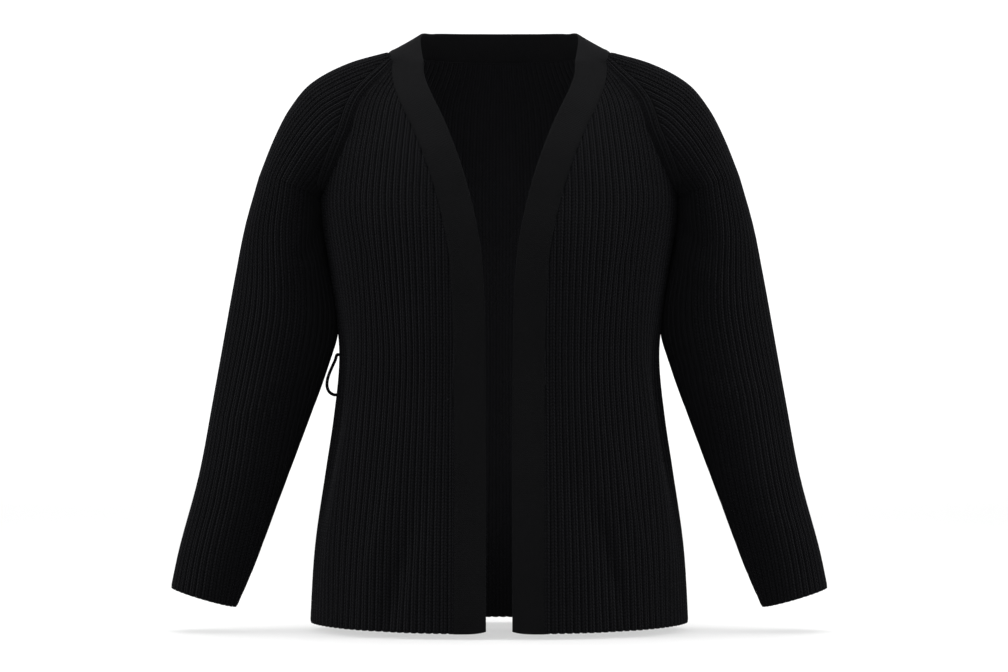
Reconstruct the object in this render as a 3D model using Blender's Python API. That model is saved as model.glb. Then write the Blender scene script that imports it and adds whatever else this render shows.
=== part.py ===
"""Open-fronted raglan cardigan in fisherman's rib, filled out as it is worn.

Metres, +Z up, the front faces -Y. The origin is midway between the two shoulder points, where
the garment is held up. X runs to the wearer's left.
"""

import math

import bmesh
import bpy
import numpy as np
from mathutils import Vector

# Cloth
PEAK = 0.0032  # thickness of the rib wall on a rib's crest
GROOVE = 0.0017  # thickness of the rib wall between two ribs
BAND_THICK = 0.0030
SEAM_GAP = 0.0003  # between neighbouring pieces
BODY_PITCH = 0.0070  # one rib of the body at the hem
SLEEVE_PITCH = 0.0066
SIDE_STEP = 0.0055  # distance between points along a seam
CORNER_BLEND = 0.2  # share of the raglan over which its wall turns to the neck's
TAPER_STEP = 1.006  # least narrowing of the sleeve between two of its sections
SEAM_PULL = 2.5  # how late a sleeve round turns from its arc to the raglan seam; higher is later
UNDERARM_FACING = (0.25, 0.0, -1.0)  # outward direction where the four seams meet

# Levels and widths
HEM_Z = -0.6313
HEM_RISE = 0.004  # the hem is this much higher at the side seams
UNDERARM_Z = -0.157
BAND_X = 0.0478  # from the middle to the seam of the straight front band
BAND_WIDTH = 0.0335
ROUNDNESS = 2.4  # 2 is an ellipse, higher is squarer

BODY_ROWS = 8
SLEEVE_ROWS = 9
BAND_STEPS = (18, 22, 28, 7)  # sections along the back neck, sleeve top, V and straight front

# The body's sections: level, half width, depth in front and behind the middle
BODY_COLUMNS = ("z", "half_width", "front", "back")
BODY = [
    (-0.6400, 0.2095, 0.1372, 0.1225),
    (-0.5450, 0.2035, 0.1345, 0.1180),
    (-0.4600, 0.1920, 0.1310, 0.1120),
    (-0.4000, 0.1835, 0.1280, 0.1080),
    (-0.3400, 0.1780, 0.1260, 0.1050),
    (-0.2900, 0.1805, 0.1285, 0.1060),
    (-0.2350, 0.1875, 0.1315, 0.1110),
    (-0.1900, 0.1955, 0.1290, 0.1160),
    (-0.1570, 0.1990, 0.1220, 0.1180),
    (-0.1160, 0.1940, 0.1110, 0.1170),
    (-0.0870, 0.1880, 0.0990, 0.1140),
    (-0.0450, 0.1750, 0.0770, 0.1050),
    (-0.0060, 0.1430, 0.0500, 0.0940),
    (0.0085, 0.1350, 0.0400, 0.0890),
    (0.0250, 0.1300, 0.0350, 0.0850),
]

# The drape's soft ridges and troughs: side of the body, angle round from the middle at the upper
# and lower end, levels of both ends, half width of the fold in degrees, height out of the cloth
FOLD_COLUMNS = ("side", "upper_angle", "lower_angle", "upper_z", "lower_z", "spread", "height")
FOLDS = [
    ("front", 50.0, 66.0, -0.215, -0.640, 8.0, 0.0075),
    ("front", 74.0, 79.0, -0.240, -0.560, 7.0, -0.0060),
    ("front", 22.0, 36.0, -0.420, -0.700, 6.0, -0.0045),
    ("front", 30.0, 20.0, -0.200, -0.420, 8.0, 0.0025),
    ("back", 46.0, 58.0, -0.230, -0.640, 9.0, 0.0065),
    ("back", 20.0, 30.0, -0.360, -0.700, 7.0, -0.0050),
    ("back", 70.0, 76.0, -0.250, -0.560, 7.0, -0.0045),
]

# The seam of the neck band from the straight front up the V to the neck corner
V_COLUMNS = ("x", "z")
V_SEAM = [
    (0.0478, -0.3900),
    (0.0488, -0.3050),
    (0.0501, -0.2600),
    (0.0528, -0.2230),
    (0.0573, -0.1950),
    (0.0623, -0.1720),
    (0.0685, -0.1480),
    (0.0773, -0.1206),
    (0.0906, -0.0862),
    (0.1085, -0.0483),
    (0.1165, -0.0241),
    (0.1180, -0.0060),
]

# The raglan seams from the neck to the underarm: share of the run, level, angle round from the middle
RAGLAN_COLUMNS = ("run", "z", "angle")
FRONT_RAGLAN = [
    (0.00, -0.0060, 52.5),
    (0.25, -0.0450, 58.0),
    (0.45, -0.0870, 61.0),
    (0.60, -0.1160, 67.0),
    (0.75, -0.1400, 76.0),
    (1.00, UNDERARM_Z, 90.0),
]
BACK_RAGLAN = [
    (0.00, 0.0085, 44.0),
    (0.25, -0.0350, 50.0),
    (0.45, -0.0780, 56.5),
    (0.60, -0.1080, 64.0),
    (0.75, -0.1360, 74.0),
    (1.00, UNDERARM_Z, 90.0),
]
NECK_MIDDLE_Z = 0.0040  # the neck seam at the middle of the back

# The sleeve above the underarm: share of the raglan run, the shoulder line's x, y and z,
# half depth of the round, angle that the round spans on each side
CAP_COLUMNS = ("run", "x", "y", "z", "depth", "span")
CAP = [
    (0.00, 0.1225, -0.0020, 0.0095, 0.0580, 58.0),
    (0.25, 0.1720, 0.0030, -0.0045, 0.0620, 68.0),
    (0.45, 0.2120, 0.0050, -0.0265, 0.0625, 90.0),
    (0.60, 0.2355, 0.0050, -0.0550, 0.0610, 112.0),
    (0.75, 0.2520, 0.0040, -0.0870, 0.0605, 138.0),
    (1.00, 0.2690, 0.0020, -0.1300, 0.0610, 180.0),
]

# The sleeve below the underarm: share of the run, outer line, inner line, half depth, middle's y
TUBE_COLUMNS = ("run", "outer_x", "outer_z", "inner_x", "inner_z", "depth", "y")
TUBE = [
    (0.00, 0.2690, -0.1300, 0.1990, -0.1570, 0.0610, 0.0020),
    (0.11, 0.2845, -0.1850, 0.1970, -0.2080, 0.0600, 0.0010),
    (0.23, 0.2955, -0.2400, 0.1840, -0.2720, 0.0535, 0.0000),
    (0.30, 0.3015, -0.2725, 0.1830, -0.3070, 0.0505, -0.0005),
    (0.37, 0.3072, -0.3050, 0.1912, -0.3430, 0.0495, -0.0010),
    (0.52, 0.3205, -0.3800, 0.2165, -0.4130, 0.0495, -0.0030),
    (0.70, 0.3362, -0.4650, 0.2460, -0.4920, 0.0455, -0.0060),
    (0.88, 0.3575, -0.5450, 0.2735, -0.5660, 0.0405, -0.0090),
    (1.00, 0.3670, -0.5900, 0.2932, -0.6120, 0.0360, -0.0110),
]

# The neck band's free edge at the named places round the neck
NECK_COLUMNS = ("place", "free_edge")
NECK = [
    ("shoulder", (0.0885, 0.0010, 0.0280)),
    ("back_corner", (0.0760, 0.0560, 0.0345)),
    ("back_side", (0.0440, 0.0780, 0.0358)),
    ("back_middle", (0.0000, 0.0850, 0.0360)),
]

# The belt loop on the wearer's right side seam: distance out from the body, level
LOOP_COLUMNS = ("out", "z")
LOOP = [
    (0.0014, -0.3300),
    (0.0040, -0.3304),
    (0.0058, -0.3360),
    (0.0088, -0.3430),
    (0.0120, -0.3515),
    (0.0136, -0.3590),
    (0.0130, -0.3665),
    (0.0098, -0.3720),
    (0.0050, -0.3748),
    (0.0014, -0.3750),
]
LOOP_WIDTH = 0.0070
LOOP_THICK = 0.0036
LOOP_CORNER = 0.7  # 1 is a round section, lower is squarer

BLACK = (0.014, 0.014, 0.016, 1.0)
BAND_BLACK = (0.018, 0.018, 0.020, 1.0)


def smooth(keys, values, at):
    """Cubic through the values, with slopes taken from their neighbours."""
    at = min(max(at, keys[0]), keys[-1])
    i = 0
    while i < len(keys) - 2 and at > keys[i + 1]:
        i += 1
    step = keys[i + 1] - keys[i]

    def slope(j):
        low = max(j - 1, 0)
        high = min(j + 1, len(keys) - 1)
        return (values[high] - values[low]) / (keys[high] - keys[low])

    s = (at - keys[i]) / step
    rise = values[i + 1] - values[i]
    bend = slope(i) * step * s * (1 - s) ** 2 - slope(i + 1) * step * s * s * (1 - s)
    return values[i] + rise * s * s * (3 - 2 * s) + bend


def column(rows, names, name):
    """One named column of a table."""
    return [row[names.index(name)] for row in rows]


def look_up(rows, names, key, at, name):
    """A column's value where the key column has the value at."""
    return smooth(column(rows, names, key), column(rows, names, name), at)


def vec(v):
    return Vector((float(v[0]), float(v[1]), float(v[2])))


def unit(v):
    return v / np.linalg.norm(v)


def bell(distance):
    return math.exp(-distance * distance)


def fold_height(side, angle, z):
    """How far the drape stands out of the plain form."""
    total = 0.0
    for row in FOLDS:
        fold = dict(zip(FOLD_COLUMNS, row))
        if fold["side"] != side:
            continue
        share = (fold["upper_z"] - z) / (fold["upper_z"] - fold["lower_z"])
        middle = fold["upper_angle"] + (fold["lower_angle"] - fold["upper_angle"]) * share
        along = min(max(share, 0.0), 1.0)
        length = math.sin(math.pi * along) ** 1.5 if 0.0 < share < 1.0 else 0.0
        total += fold["height"] * length * bell((angle - middle) / fold["spread"])
    return total


def body_point(side, angle, z):
    """A point on the crest surface of the body, angle in degrees from the middle of that side."""
    half = look_up(BODY, BODY_COLUMNS, "z", z, "half_width")
    depth = look_up(BODY, BODY_COLUMNS, "z", z, side)
    turn = math.radians(abs(angle))
    out = fold_height(side, abs(angle), z)
    across = abs(math.sin(turn)) ** (2 / ROUNDNESS)
    ahead = max(math.cos(turn), 0.0) ** (2 / ROUNDNESS)
    x = (half + out * math.sin(turn)) * across * math.copysign(1.0, angle)
    y = (depth + out * math.cos(turn)) * ahead
    return np.array([x, -y if side == "front" else y, z])


def angle_at(side, x, z):
    """The angle round the body at which it is x wide of the middle."""
    low, high = 0.0, 90.0
    for _ in range(40):
        mid = 0.5 * (low + high)
        if body_point(side, mid, z)[0] < x:
            low = mid
        else:
            high = mid
    return 0.5 * (low + high)


def body_normal(side, angle, z):
    """Outward direction of the body's surface."""
    step = 1.0
    low = min(angle - step, 90.0 - 2 * step)
    round_it = body_point(side, low + 2 * step, z) - body_point(side, low, z)
    up = body_point(side, angle, z + 0.004) - body_point(side, angle, z - 0.004)
    n = np.cross(round_it, up)
    return unit(n if side == "front" else -n)


def seam_place(side, v):
    """Angle and level on the top edge of a body panel's right half.

    In front v runs 0 to 1 up the V and 1 to 2 down the raglan. Behind it runs 0 to 1 from the
    middle of the neck to its corner.
    """
    if side == "front" and v < 1.0:
        keys = list(np.linspace(0.0, 1.0, len(V_SEAM)))
        x = smooth(keys, column(V_SEAM, V_COLUMNS, "x"), v)
        z = smooth(keys, column(V_SEAM, V_COLUMNS, "z"), v)
        return angle_at(side, x, z), z
    if side == "back" and v < 1.0:
        corner = BACK_RAGLAN[0]
        return corner[2] * v, NECK_MIDDLE_Z + (corner[1] - NECK_MIDDLE_Z) * v * v
    rows = FRONT_RAGLAN if side == "front" else BACK_RAGLAN
    run = v - 1.0
    return (
        look_up(rows, RAGLAN_COLUMNS, "run", run, "angle"),
        look_up(rows, RAGLAN_COLUMNS, "run", run, "z"),
    )


def seam_point(side, v):
    return body_point(side, *seam_place(side, v))


def cap_ring(run):
    """The round of the sleeve at a share of the raglan run, as centre, reach, depth and span."""
    get = lambda name: look_up(CAP, CAP_COLUMNS, "run", run, name)
    front = seam_point("front", 1.0 + run)
    back = seam_point("back", 1.0 + run)
    top = np.array([get("x"), 0.0, get("z")])
    span = math.radians(get("span"))
    ends = 0.5 * (front + back)
    ends[1] = 0.0
    centre = (ends - top * math.cos(span)) / (1.0 - math.cos(span))
    middle = 0.5 * (front[1] + back[1])
    return centre, top - centre, get("depth"), span, middle, get("y"), front, back


def cap_point(run, share):
    """A point of the sleeve's crest surface; share is -1 at the front seam and 1 at the back."""
    centre, reach, depth, span, middle, top_y, front, back = cap_ring(run)

    def base(turn, side):
        share_out = abs(turn) / span
        y = top_y + (middle - top_y) * share_out + depth * side * math.sin(abs(turn))
        p = centre + reach * math.cos(turn)
        return np.array([p[0], y, p[2]])

    side = -1.0 if share < 0 else 1.0
    turn = abs(share) * span
    end = front if share < 0 else back
    return base(turn, side) + (end - base(span, side)) * abs(share) ** SEAM_PULL


def tube_point(run, share):
    """A point of the sleeve below the underarm; share runs -1 to 1 through the front, out, back."""
    get = lambda name: look_up(TUBE, TUBE_COLUMNS, "run", run, name)
    turn = share * math.pi
    outer = np.array([get("outer_x"), 0.0, get("outer_z")])
    inner = np.array([get("inner_x"), 0.0, get("inner_z")])
    centre = 0.5 * (outer + inner)
    p = centre + 0.5 * (outer - inner) * math.cos(turn)
    return np.array([p[0], get("y") + get("depth") * math.sin(turn), p[2]])


def sleeve_point(t, share):
    """t is -1 at the neck, 0 at the underarm and 1 at the cuff."""
    if t < 0.0:
        return cap_point(1.0 + t, share)
    return tube_point(t, share)


class SleeveMap:
    """Places on the sleeve by their share of the way round from the shoulder line."""

    ROUND = 64

    def __init__(self):
        self.keys = list(np.linspace(-1.0, 0.0, 17)[:-1]) + list(np.linspace(0.0, 1.0, 25))
        self.shares = np.linspace(-1.0, 1.0, self.ROUND + 1)
        self.rings = []
        self.halves = []
        for t in self.keys:
            points = np.array([sleeve_point(t, s) for s in self.shares])
            run = np.concatenate([[0.0], np.cumsum(np.linalg.norm(np.diff(points, axis=0), axis=1))])
            middle = run[self.ROUND // 2]
            front, back = middle, run[-1] - middle
            f = np.where(run < middle, (run - middle) / front, (run - middle) / back)
            ring = [np.interp(self.shares, f, points[:, axis]) for axis in range(3)]
            self.rings.append(np.array(ring).T)
            self.halves.append(0.5 * (front + back))
        self.reaches = self.find_reaches()
        self.cache = {}

    def find_reaches(self):
        """Half rounds that only shrink away from the underarm, so that each rib ends once."""
        reaches = list(self.halves)
        under = self.keys.index(0.0)
        for i in range(len(reaches) - 2, under - 1, -1):
            reaches[i] = max(reaches[i], reaches[i + 1] * TAPER_STEP)
        ratio = reaches[under] / self.halves[under]
        for i in range(under):
            reaches[i] *= 1.0 + (ratio - 1.0) * (1.0 + self.keys[i])
        return reaches

    def half(self, t):
        """Half the round at t, as the ribs count it."""
        return smooth(self.keys, self.reaches, t)

    def point(self, t, f):
        """f is the share of the half round, -1 at the front seam to 1 at the back."""
        key = round(t, 7)
        if key not in self.cache:
            self.cache[key] = smooth(self.keys, self.rings, t)
        ring = self.cache[key]
        if t >= 0.0 and abs(f) > 1.0 - 1e-9:
            return 0.5 * (ring[0] + ring[-1])
        return np.array([np.interp(f, self.shares, ring[:, axis]) for axis in range(3)])

    def normal(self, t, f):
        e = 0.04
        if t >= 0.0 and abs(f) > 1.0 - e:
            low = self.point(t, 1.0 - e)
            high = self.point(t, e - 1.0)
        else:
            low = self.point(t, max(f - e, -1.0))
            high = self.point(t, min(f + e, 1.0))
        d = 0.02
        near = self.point(max(t - d, -1.0 if t < 0.0 else 0.0), f)
        far = self.point(min(t + d, 1.0), f)
        return unit(np.cross(high - low, near - far))

    def where_half_is(self, length, low, high):
        """The t between low and high at which the half round has this length."""
        rising = self.half(high) > self.half(low)
        for _ in range(40):
            mid = 0.5 * (low + high)
            if (self.half(mid) < length) == rising:
                low = mid
            else:
                high = mid
        return 0.5 * (low + high)


def raglan_frame(side, run):
    """Point, normal and direction into the body of the raglan seam."""
    e = 0.01
    low, high = max(run - e, 0.0), min(run + e, 1.0)
    p = seam_point(side, 1.0 + run)
    along = unit(seam_point(side, 1.0 + high) - seam_point(side, 1.0 + low))
    if run > 1.0 - 1e-9:
        along = np.array([0.0, 1.0 if side == "front" else -1.0, 0.0])
    angle, z = seam_place(side, 1.0 + run)
    f = -1.0 if side == "front" else 1.0
    n = body_normal(side, angle, z) + SLEEVE.normal(min(run - 1.0, -1e-6), f * 0.97)
    n = n - along * np.dot(n, along)
    n = unit(n)
    into = np.cross(along, n)
    inward = body_point(side, max(angle - 6.0, 0.0), z - 0.01) - p
    if np.dot(into, inward) < 0:
        into = -into
    return p, n, into


SLEEVE = SleeveMap()


def raglan_end(side, run):
    """The raglan frame, with both seams agreeing where they meet at the underarm."""
    if run < 1.0 - 1e-6:
        p, n, into = raglan_frame(side, run)
        share = max(1.0 - run / CORNER_BLEND, 0.0) ** 2
        if share > 0.0:
            _, corner, _ = NECKLINE.frame(1.0 if side == "front" else 2.0)
            n = unit(n * (1.0 - share) + corner * share)
        return p, n, into
    p = seam_point("front", 2.0)
    n = unit(np.array(UNDERARM_FACING))
    return p, n, np.array([n[2], 0.0, -n[0]])


class Neckline:
    """The seam of the neck band from the hem of one front to the middle of the back."""

    def __init__(self):
        self.q = []
        self.seam = []
        self.edge = []
        straight_top = V_SEAM[0][1]
        for z in np.linspace(HEM_Z, straight_top, 9)[:-1]:
            self.add(-1.0 + (z - HEM_Z) / (straight_top - HEM_Z),
                     body_point("front", angle_at("front", BAND_X, z), z))
        for v in np.linspace(0.0, 1.0, 21)[:-1]:
            self.add(v, seam_point("front", v))
        for f in np.linspace(-1.0, 1.0, 15)[:-1]:
            self.add(1.0 + 0.5 * (f + 1.0), SLEEVE.point(-1.0, f))
        for v in np.linspace(1.0, 0.0, 11):
            self.add(2.0 + (1.0 - v), seam_point("back", v))
        self.find_edges()

    def add(self, q, seam):
        self.q.append(q)
        self.seam.append(seam)

    def along(self, i):
        low, high = max(i - 1, 0), min(i + 1, len(self.q) - 1)
        if i == len(self.q) - 1:
            return np.array([-1.0, 0.0, 0.0])
        return unit(self.seam[high] - self.seam[low])

    def find_edges(self):
        """The band lies on the body's surface in front and stands up round the neck."""
        for i, q in enumerate(self.q):
            if q > 1.0 + 1e-9:
                break
            p = self.seam[i]
            along = self.along(i)
            flat = unit(np.array([-along[2], 0.0, along[0]]))
            if q < 0.0:
                flat = np.array([-1.0, 0.0, 0.0])
            x = p[0] + flat[0] * BAND_WIDTH
            z = p[2] + flat[2] * BAND_WIDTH
            self.edge.append(body_point("front", angle_at("front", x, z), z))
        places = [1.0, 1.5, 2.0, 2.5, 3.0]
        free_edges = column(NECK, NECK_COLUMNS, "free_edge")
        points = [self.edge[-1]] + [np.array(edge) for edge in free_edges]
        for q in self.q[len(self.edge):]:
            self.edge.append(smooth(places, points, q))

    def frame(self, q):
        """Seam point, outward normal and direction away from the band at q."""
        p = smooth(self.q, self.seam, q)
        edge = smooth(self.q, self.edge, q)
        e = 0.01
        low, high = max(q - e, -1.0), min(q + e, 3.0)
        along = unit(smooth(self.q, self.seam, high) - smooth(self.q, self.seam, low))
        if q > 3.0 - 1e-9:
            along = np.array([-1.0, 0.0, 0.0])
        across = unit(edge - p)
        into = -unit(across - along * np.dot(across, along))
        return p, unit(np.cross(along, across)), into

    def band(self, q):
        """Seam and free edge of the band."""
        return smooth(self.q, self.seam, q), smooth(self.q, self.edge, q)


NECKLINE = Neckline()


def layer(point, normal, thick):
    """Outer and inner point of the wall; the crest surface goes through the point."""
    return point - normal * (PEAK - thick), point - normal * PEAK


def with_extras(ends, place, must=()):
    """Seam samples at the columns' ends and between them, with each column's index."""
    samples = []
    index = []
    for i, q in enumerate(ends):
        index.append(len(samples))
        samples.append(q)
        if i == len(ends) - 1 or ends[i + 1] - q < 1e-9:
            continue
        inside = [m for m in must if q + 1e-9 < m < ends[i + 1] - 1e-9]
        stops = [q] + inside + [ends[i + 1]]
        for a, b in zip(stops, stops[1:]):
            if a != q:
                samples.append(a)
            span = np.linalg.norm(place(b) - place(a))
            count = int(span / SIDE_STEP)
            samples += [a + (b - a) * (k + 1) / (count + 1) for k in range(count)]
    return samples, index


def zipped(near, far):
    """Triangles between two lines of vertices that share their first and last vertex."""
    faces = [[near[0], far[1], near[1]]]
    last_near = len(near) - 2
    last_far = len(far) - 2
    i = j = 1
    while i < last_near or j < last_far:
        far_next = i == last_near
        if i < last_near and j < last_far:
            to_far = (near[i].co - far[j + 1].co).length
            to_near = (near[i + 1].co - far[j].co).length
            far_next = to_far <= to_near
        if far_next:
            faces.append([near[i], far[j], far[j + 1]])
            j += 1
        else:
            faces.append([near[i], far[j], near[i + 1]])
            i += 1
    return faces + [[near[-2], far[-2], near[-1]]]


def between(left, right, low, high):
    """Faces between two columns; one that has shrunk to a point is zipped to its neighbour."""
    left_reach = (left[-1].co - left[0].co).length
    right_reach = (right[-1].co - right[0].co).length
    if len(right) > 1 and right_reach == 0.0:
        return zipped([low[0]] + left + [high[0]], low + high[::-1])
    if len(left) > 1 and left_reach == 0.0:
        faces = zipped([low[-1]] + right + [high[-1]], low[::-1] + high)
        return [face[::-1] for face in faces]
    if len(low) == 2:
        faces = [low + [right[0], left[0]]]
    elif left_reach > right_reach:
        faces = [[left[0], p, q] for p, q in zip(low, low[1:])] + [[left[0], low[-1], right[0]]]
    else:
        faces = [[right[0], p, q] for p, q in zip(low, low[1:])] + [[right[0], left[0], low[0]]]
    for r in range(len(left) - 1):
        faces.append([left[r], right[r], right[r + 1], left[r + 1]])
    faces.append([left[-1], right[-1]] + high[::-1])
    return faces


def wall(grid, top, top_at, bottom, bottom_at, step, strip=None):
    """Closed wall from columns of outer and inner points and its two edge lines.

    grid[c][r] holds the rows between the edges, top and bottom hold all samples of the edges and
    the _at lists say which sample ends each column. The inner side uses every step-th column.
    """
    bm = bmesh.new()

    def verts(pairs, side):
        return [bm.verts.new(vec(pair[side])) for pair in pairs]

    count = len(grid)
    sides = []
    for side, every in ((0, 1), (1, step)):
        high = verts(top, side)
        low = verts(bottom, side)
        columns = {c: verts(grid[c], side) for c in range(0, count, every)}
        sides.append((high, low, columns))
        order = sorted(columns)
        for a, b in zip(order, order[1:]):
            low_edge = low[bottom_at[a]:bottom_at[b] + 1]
            high_edge = high[top_at[a]:top_at[b] + 1]
            for face in between(columns[a], columns[b], low_edge, high_edge):
                bm.faces.new(face if side == 0 else face[::-1])
    (high_out, low_out, out), (high_in, low_in, inn) = sides
    for i in range(len(top) - 1):
        bm.faces.new([high_out[i + 1], high_out[i], high_in[i], high_in[i + 1]])
    for i in range(len(bottom) - 1):
        if strip is None or strip[i]:
            bm.faces.new([low_out[i], low_out[i + 1], low_in[i + 1], low_in[i]])
    for c, flip in ((0, False), (count - 1, True)):
        outer = [low_out[bottom_at[c]]] + out[c] + [high_out[top_at[c]]]
        inner = [low_in[bottom_at[c]]] + inn[c] + [high_in[top_at[c]]]
        for r in range(len(outer) - 1):
            face = [outer[r], inner[r], inner[r + 1], outer[r + 1]]
            bm.faces.new(face[::-1] if flip else face)
    bmesh.ops.remove_doubles(bm, verts=bm.verts, dist=2e-6)
    bmesh.ops.triangulate(bm, faces=bm.faces, quad_method="BEAUTY", ngon_method="BEAUTY")
    bmesh.ops.recalc_face_normals(bm, faces=bm.faces)
    if bm.calc_volume(signed=True) < 0:
        bmesh.ops.reverse_faces(bm, faces=bm.faces)
    return bm


def rib_thick(c):
    """Columns alternate between grooves and crests."""
    return PEAK if c % 2 else GROOVE


def arc_shares(side, low, high, count):
    """Angles from low to high at even distances along the hem."""
    angles = np.linspace(low, high, 200)
    points = np.array([body_point(side, a, HEM_Z) for a in angles])
    run = np.concatenate([[0.0], np.cumsum(np.linalg.norm(np.diff(points, axis=0), axis=1))])
    even = np.interp(np.linspace(0.0, run[-1], count + 1), run, angles)
    return even, run[-1]


def hem_z(angle):
    return HEM_Z + HEM_RISE * math.sin(math.radians(abs(angle))) ** 2


BAND_LEVELS = np.linspace(-0.65, 0.03, 60)
BAND_ANGLES = np.array([angle_at("front", BAND_X, z) for z in BAND_LEVELS])


def front_angle(share, z):
    """Angle of a rib of the front, from the band's line at share 0 to the side at 1."""
    first = float(np.interp(z, BAND_LEVELS, BAND_ANGLES))
    return first + share * (90.0 - first)


def top_of_rib(side, share_angle):
    """The v at which a rib meets the panel's top edge; share_angle gives its angle at a level."""
    low, high = 0.0, 2.0
    for _ in range(36):
        mid = 0.5 * (low + high)
        angle, z = seam_place(side, mid)
        if angle < share_angle(z):
            low = mid
        else:
            high = mid
    return 0.5 * (low + high)


def panel_top(side, v):
    """Point pushed back from the seams and its normal on a body panel's top edge."""
    near = 1e-4
    if side == "front":
        neck_q = min(v, 1.0)
    else:
        neck_q = 3.0 - min(v, 1.0)
    half = 0.5 * SEAM_GAP
    if v < 1.0 - near:
        p, n, into = NECKLINE.frame(neck_q)
        return p + into * half, n
    if v > 1.0 + near:
        p, n, into = raglan_end(side, v - 1.0)
        if v > 2.0 - near:
            y = -half if side == "front" else half
            return p + into * half + np.array([0.0, y, 0.0]), n
        return p + into * half, n
    p, n1, into1 = NECKLINE.frame(neck_q)
    _, _, into2 = raglan_end(side, 0.0)
    return p + (into1 + into2) * half, n1


def front_panel():
    """The wearer's left front, from the band to the side seam."""
    first = front_angle(0.0, HEM_Z)
    _, length = arc_shares("front", first, 90.0, 2)
    ribs = 2 * round(length / BODY_PITCH / 2)
    count = 2 * ribs
    angles, _ = arc_shares("front", first, 90.0, count)
    shares = (angles - first) / (90.0 - first)
    ends = [top_of_rib("front", lambda z, w=w: front_angle(w, z)) for w in shares]
    ends[0], ends[-1] = 0.0, 2.0
    top_q, top_at = with_extras(ends, lambda v: seam_point("front", v), must=(1.0,))
    thick_at = lambda v: float(np.interp(v, ends, [rib_thick(c) for c in range(count + 1)]))
    top = [layer(*panel_top("front", v), thick_at(v)) for v in top_q]
    half = 0.5 * SEAM_GAP
    grid, bottom = [], []
    for c, w in enumerate(shares):
        z_top = seam_place("front", ends[c])[1]
        z_low = hem_z(angles[c])
        column_points = []
        for r in range(BODY_ROWS):
            z = z_low + (z_top - z_low) * r / BODY_ROWS
            angle = front_angle(w, z)
            p = body_point("front", angle, z)
            n = body_normal("front", min(angle, 89.0), z)
            if c == 0:
                p = p + np.array([half, 0.0, 0.0])
            if c == count:
                p = p + np.array([0.0, -half, 0.0])
                n = np.array([1.0, 0.0, 0.0])
            column_points.append(layer(p, n, rib_thick(c)))
        bottom.append(column_points[0])
        grid.append(column_points[1:])
    return wall(grid, top, top_at, bottom, list(range(count + 1)), 4)


def back_panel():
    """The back, from side seam to side seam."""
    _, length = arc_shares("back", 0.0, 90.0, 2)
    ribs = 2 * round(length / BODY_PITCH / 2)
    count = 2 * ribs
    angles, _ = arc_shares("back", 0.0, 90.0, count)
    half = 0.5 * SEAM_GAP
    ends = [top_of_rib("back", lambda z, a=a: a) for a in angles]
    ends[0], ends[-1] = 0.0, 2.0
    thicks = [rib_thick(c) for c in range(count + 1)]
    top_q, top_at = with_extras(ends, lambda v: seam_point("back", v), must=(1.0,))
    top = [layer(*panel_top("back", v), float(np.interp(v, ends, thicks))) for v in top_q]
    grid, bottom = [], []
    for c, angle in enumerate(angles):
        z_top = seam_place("back", ends[c])[1]
        z_low = hem_z(angle)
        column_points = []
        for r in range(BODY_ROWS):
            z = z_low + (z_top - z_low) * r / BODY_ROWS
            p = body_point("back", angle, z)
            n = body_normal("back", min(max(angle, 0.5), 89.0), z)
            if c == 0:
                n = unit(n * np.array([0.0, 1.0, 1.0]))
            if c == count:
                p = p + np.array([0.0, half, 0.0])
                n = np.array([1.0, 0.0, 0.0])
            column_points.append(layer(p, n, thicks[c]))
        bottom.append(column_points[0])
        grid.append(column_points[1:])
    flip = np.array([-1.0, 1.0, 1.0])
    turn = lambda pairs: [(a * flip, b * flip) for a, b in pairs]
    whole_grid = [turn(g) for g in grid[:0:-1]] + grid
    whole_bottom = turn(bottom[:0:-1]) + bottom
    whole_top = turn(top[:0:-1]) + top
    last = len(top) - 1
    whole_at = [last - i for i in top_at[:0:-1]] + [last + i for i in top_at]
    return wall(whole_grid, whole_top, whole_at, whole_bottom, list(range(2 * count + 1)), 4)


def sleeve_top(q):
    """Point and normal on the sleeve's upper edge: front raglan, neck, back raglan."""
    near = 1e-4
    half = 0.5 * SEAM_GAP
    if q < 1.0 - near:
        p, n, into = raglan_end("front", 1.0 - q)
        return p - into * half, n
    if q > 2.0 + near:
        p, n, into = raglan_end("back", q - 2.0)
        return p - into * half, n
    p, n1, into1 = NECKLINE.frame(q)
    if near < q - 1.0 and near < 2.0 - q:
        return p + into1 * half, n1
    _, _, into2 = raglan_end("front" if q < 1.5 else "back", 0.0)
    return p + (into1 - into2) * half, n1


def sleeve_low(q):
    """Point and normal on the sleeve's lower edge: underarm seam, cuff, underarm seam."""
    if q < 1.0:
        t, f = q, -1.0
    elif q > 2.0:
        t, f = 3.0 - q, 1.0
    else:
        t, f = 1.0, -1.0 + 2.0 * (q - 1.0)
    if t < 1e-6:
        return sleeve_top(0.0)
    return SLEEVE.point(t, f), SLEEVE.normal(t, f)


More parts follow.
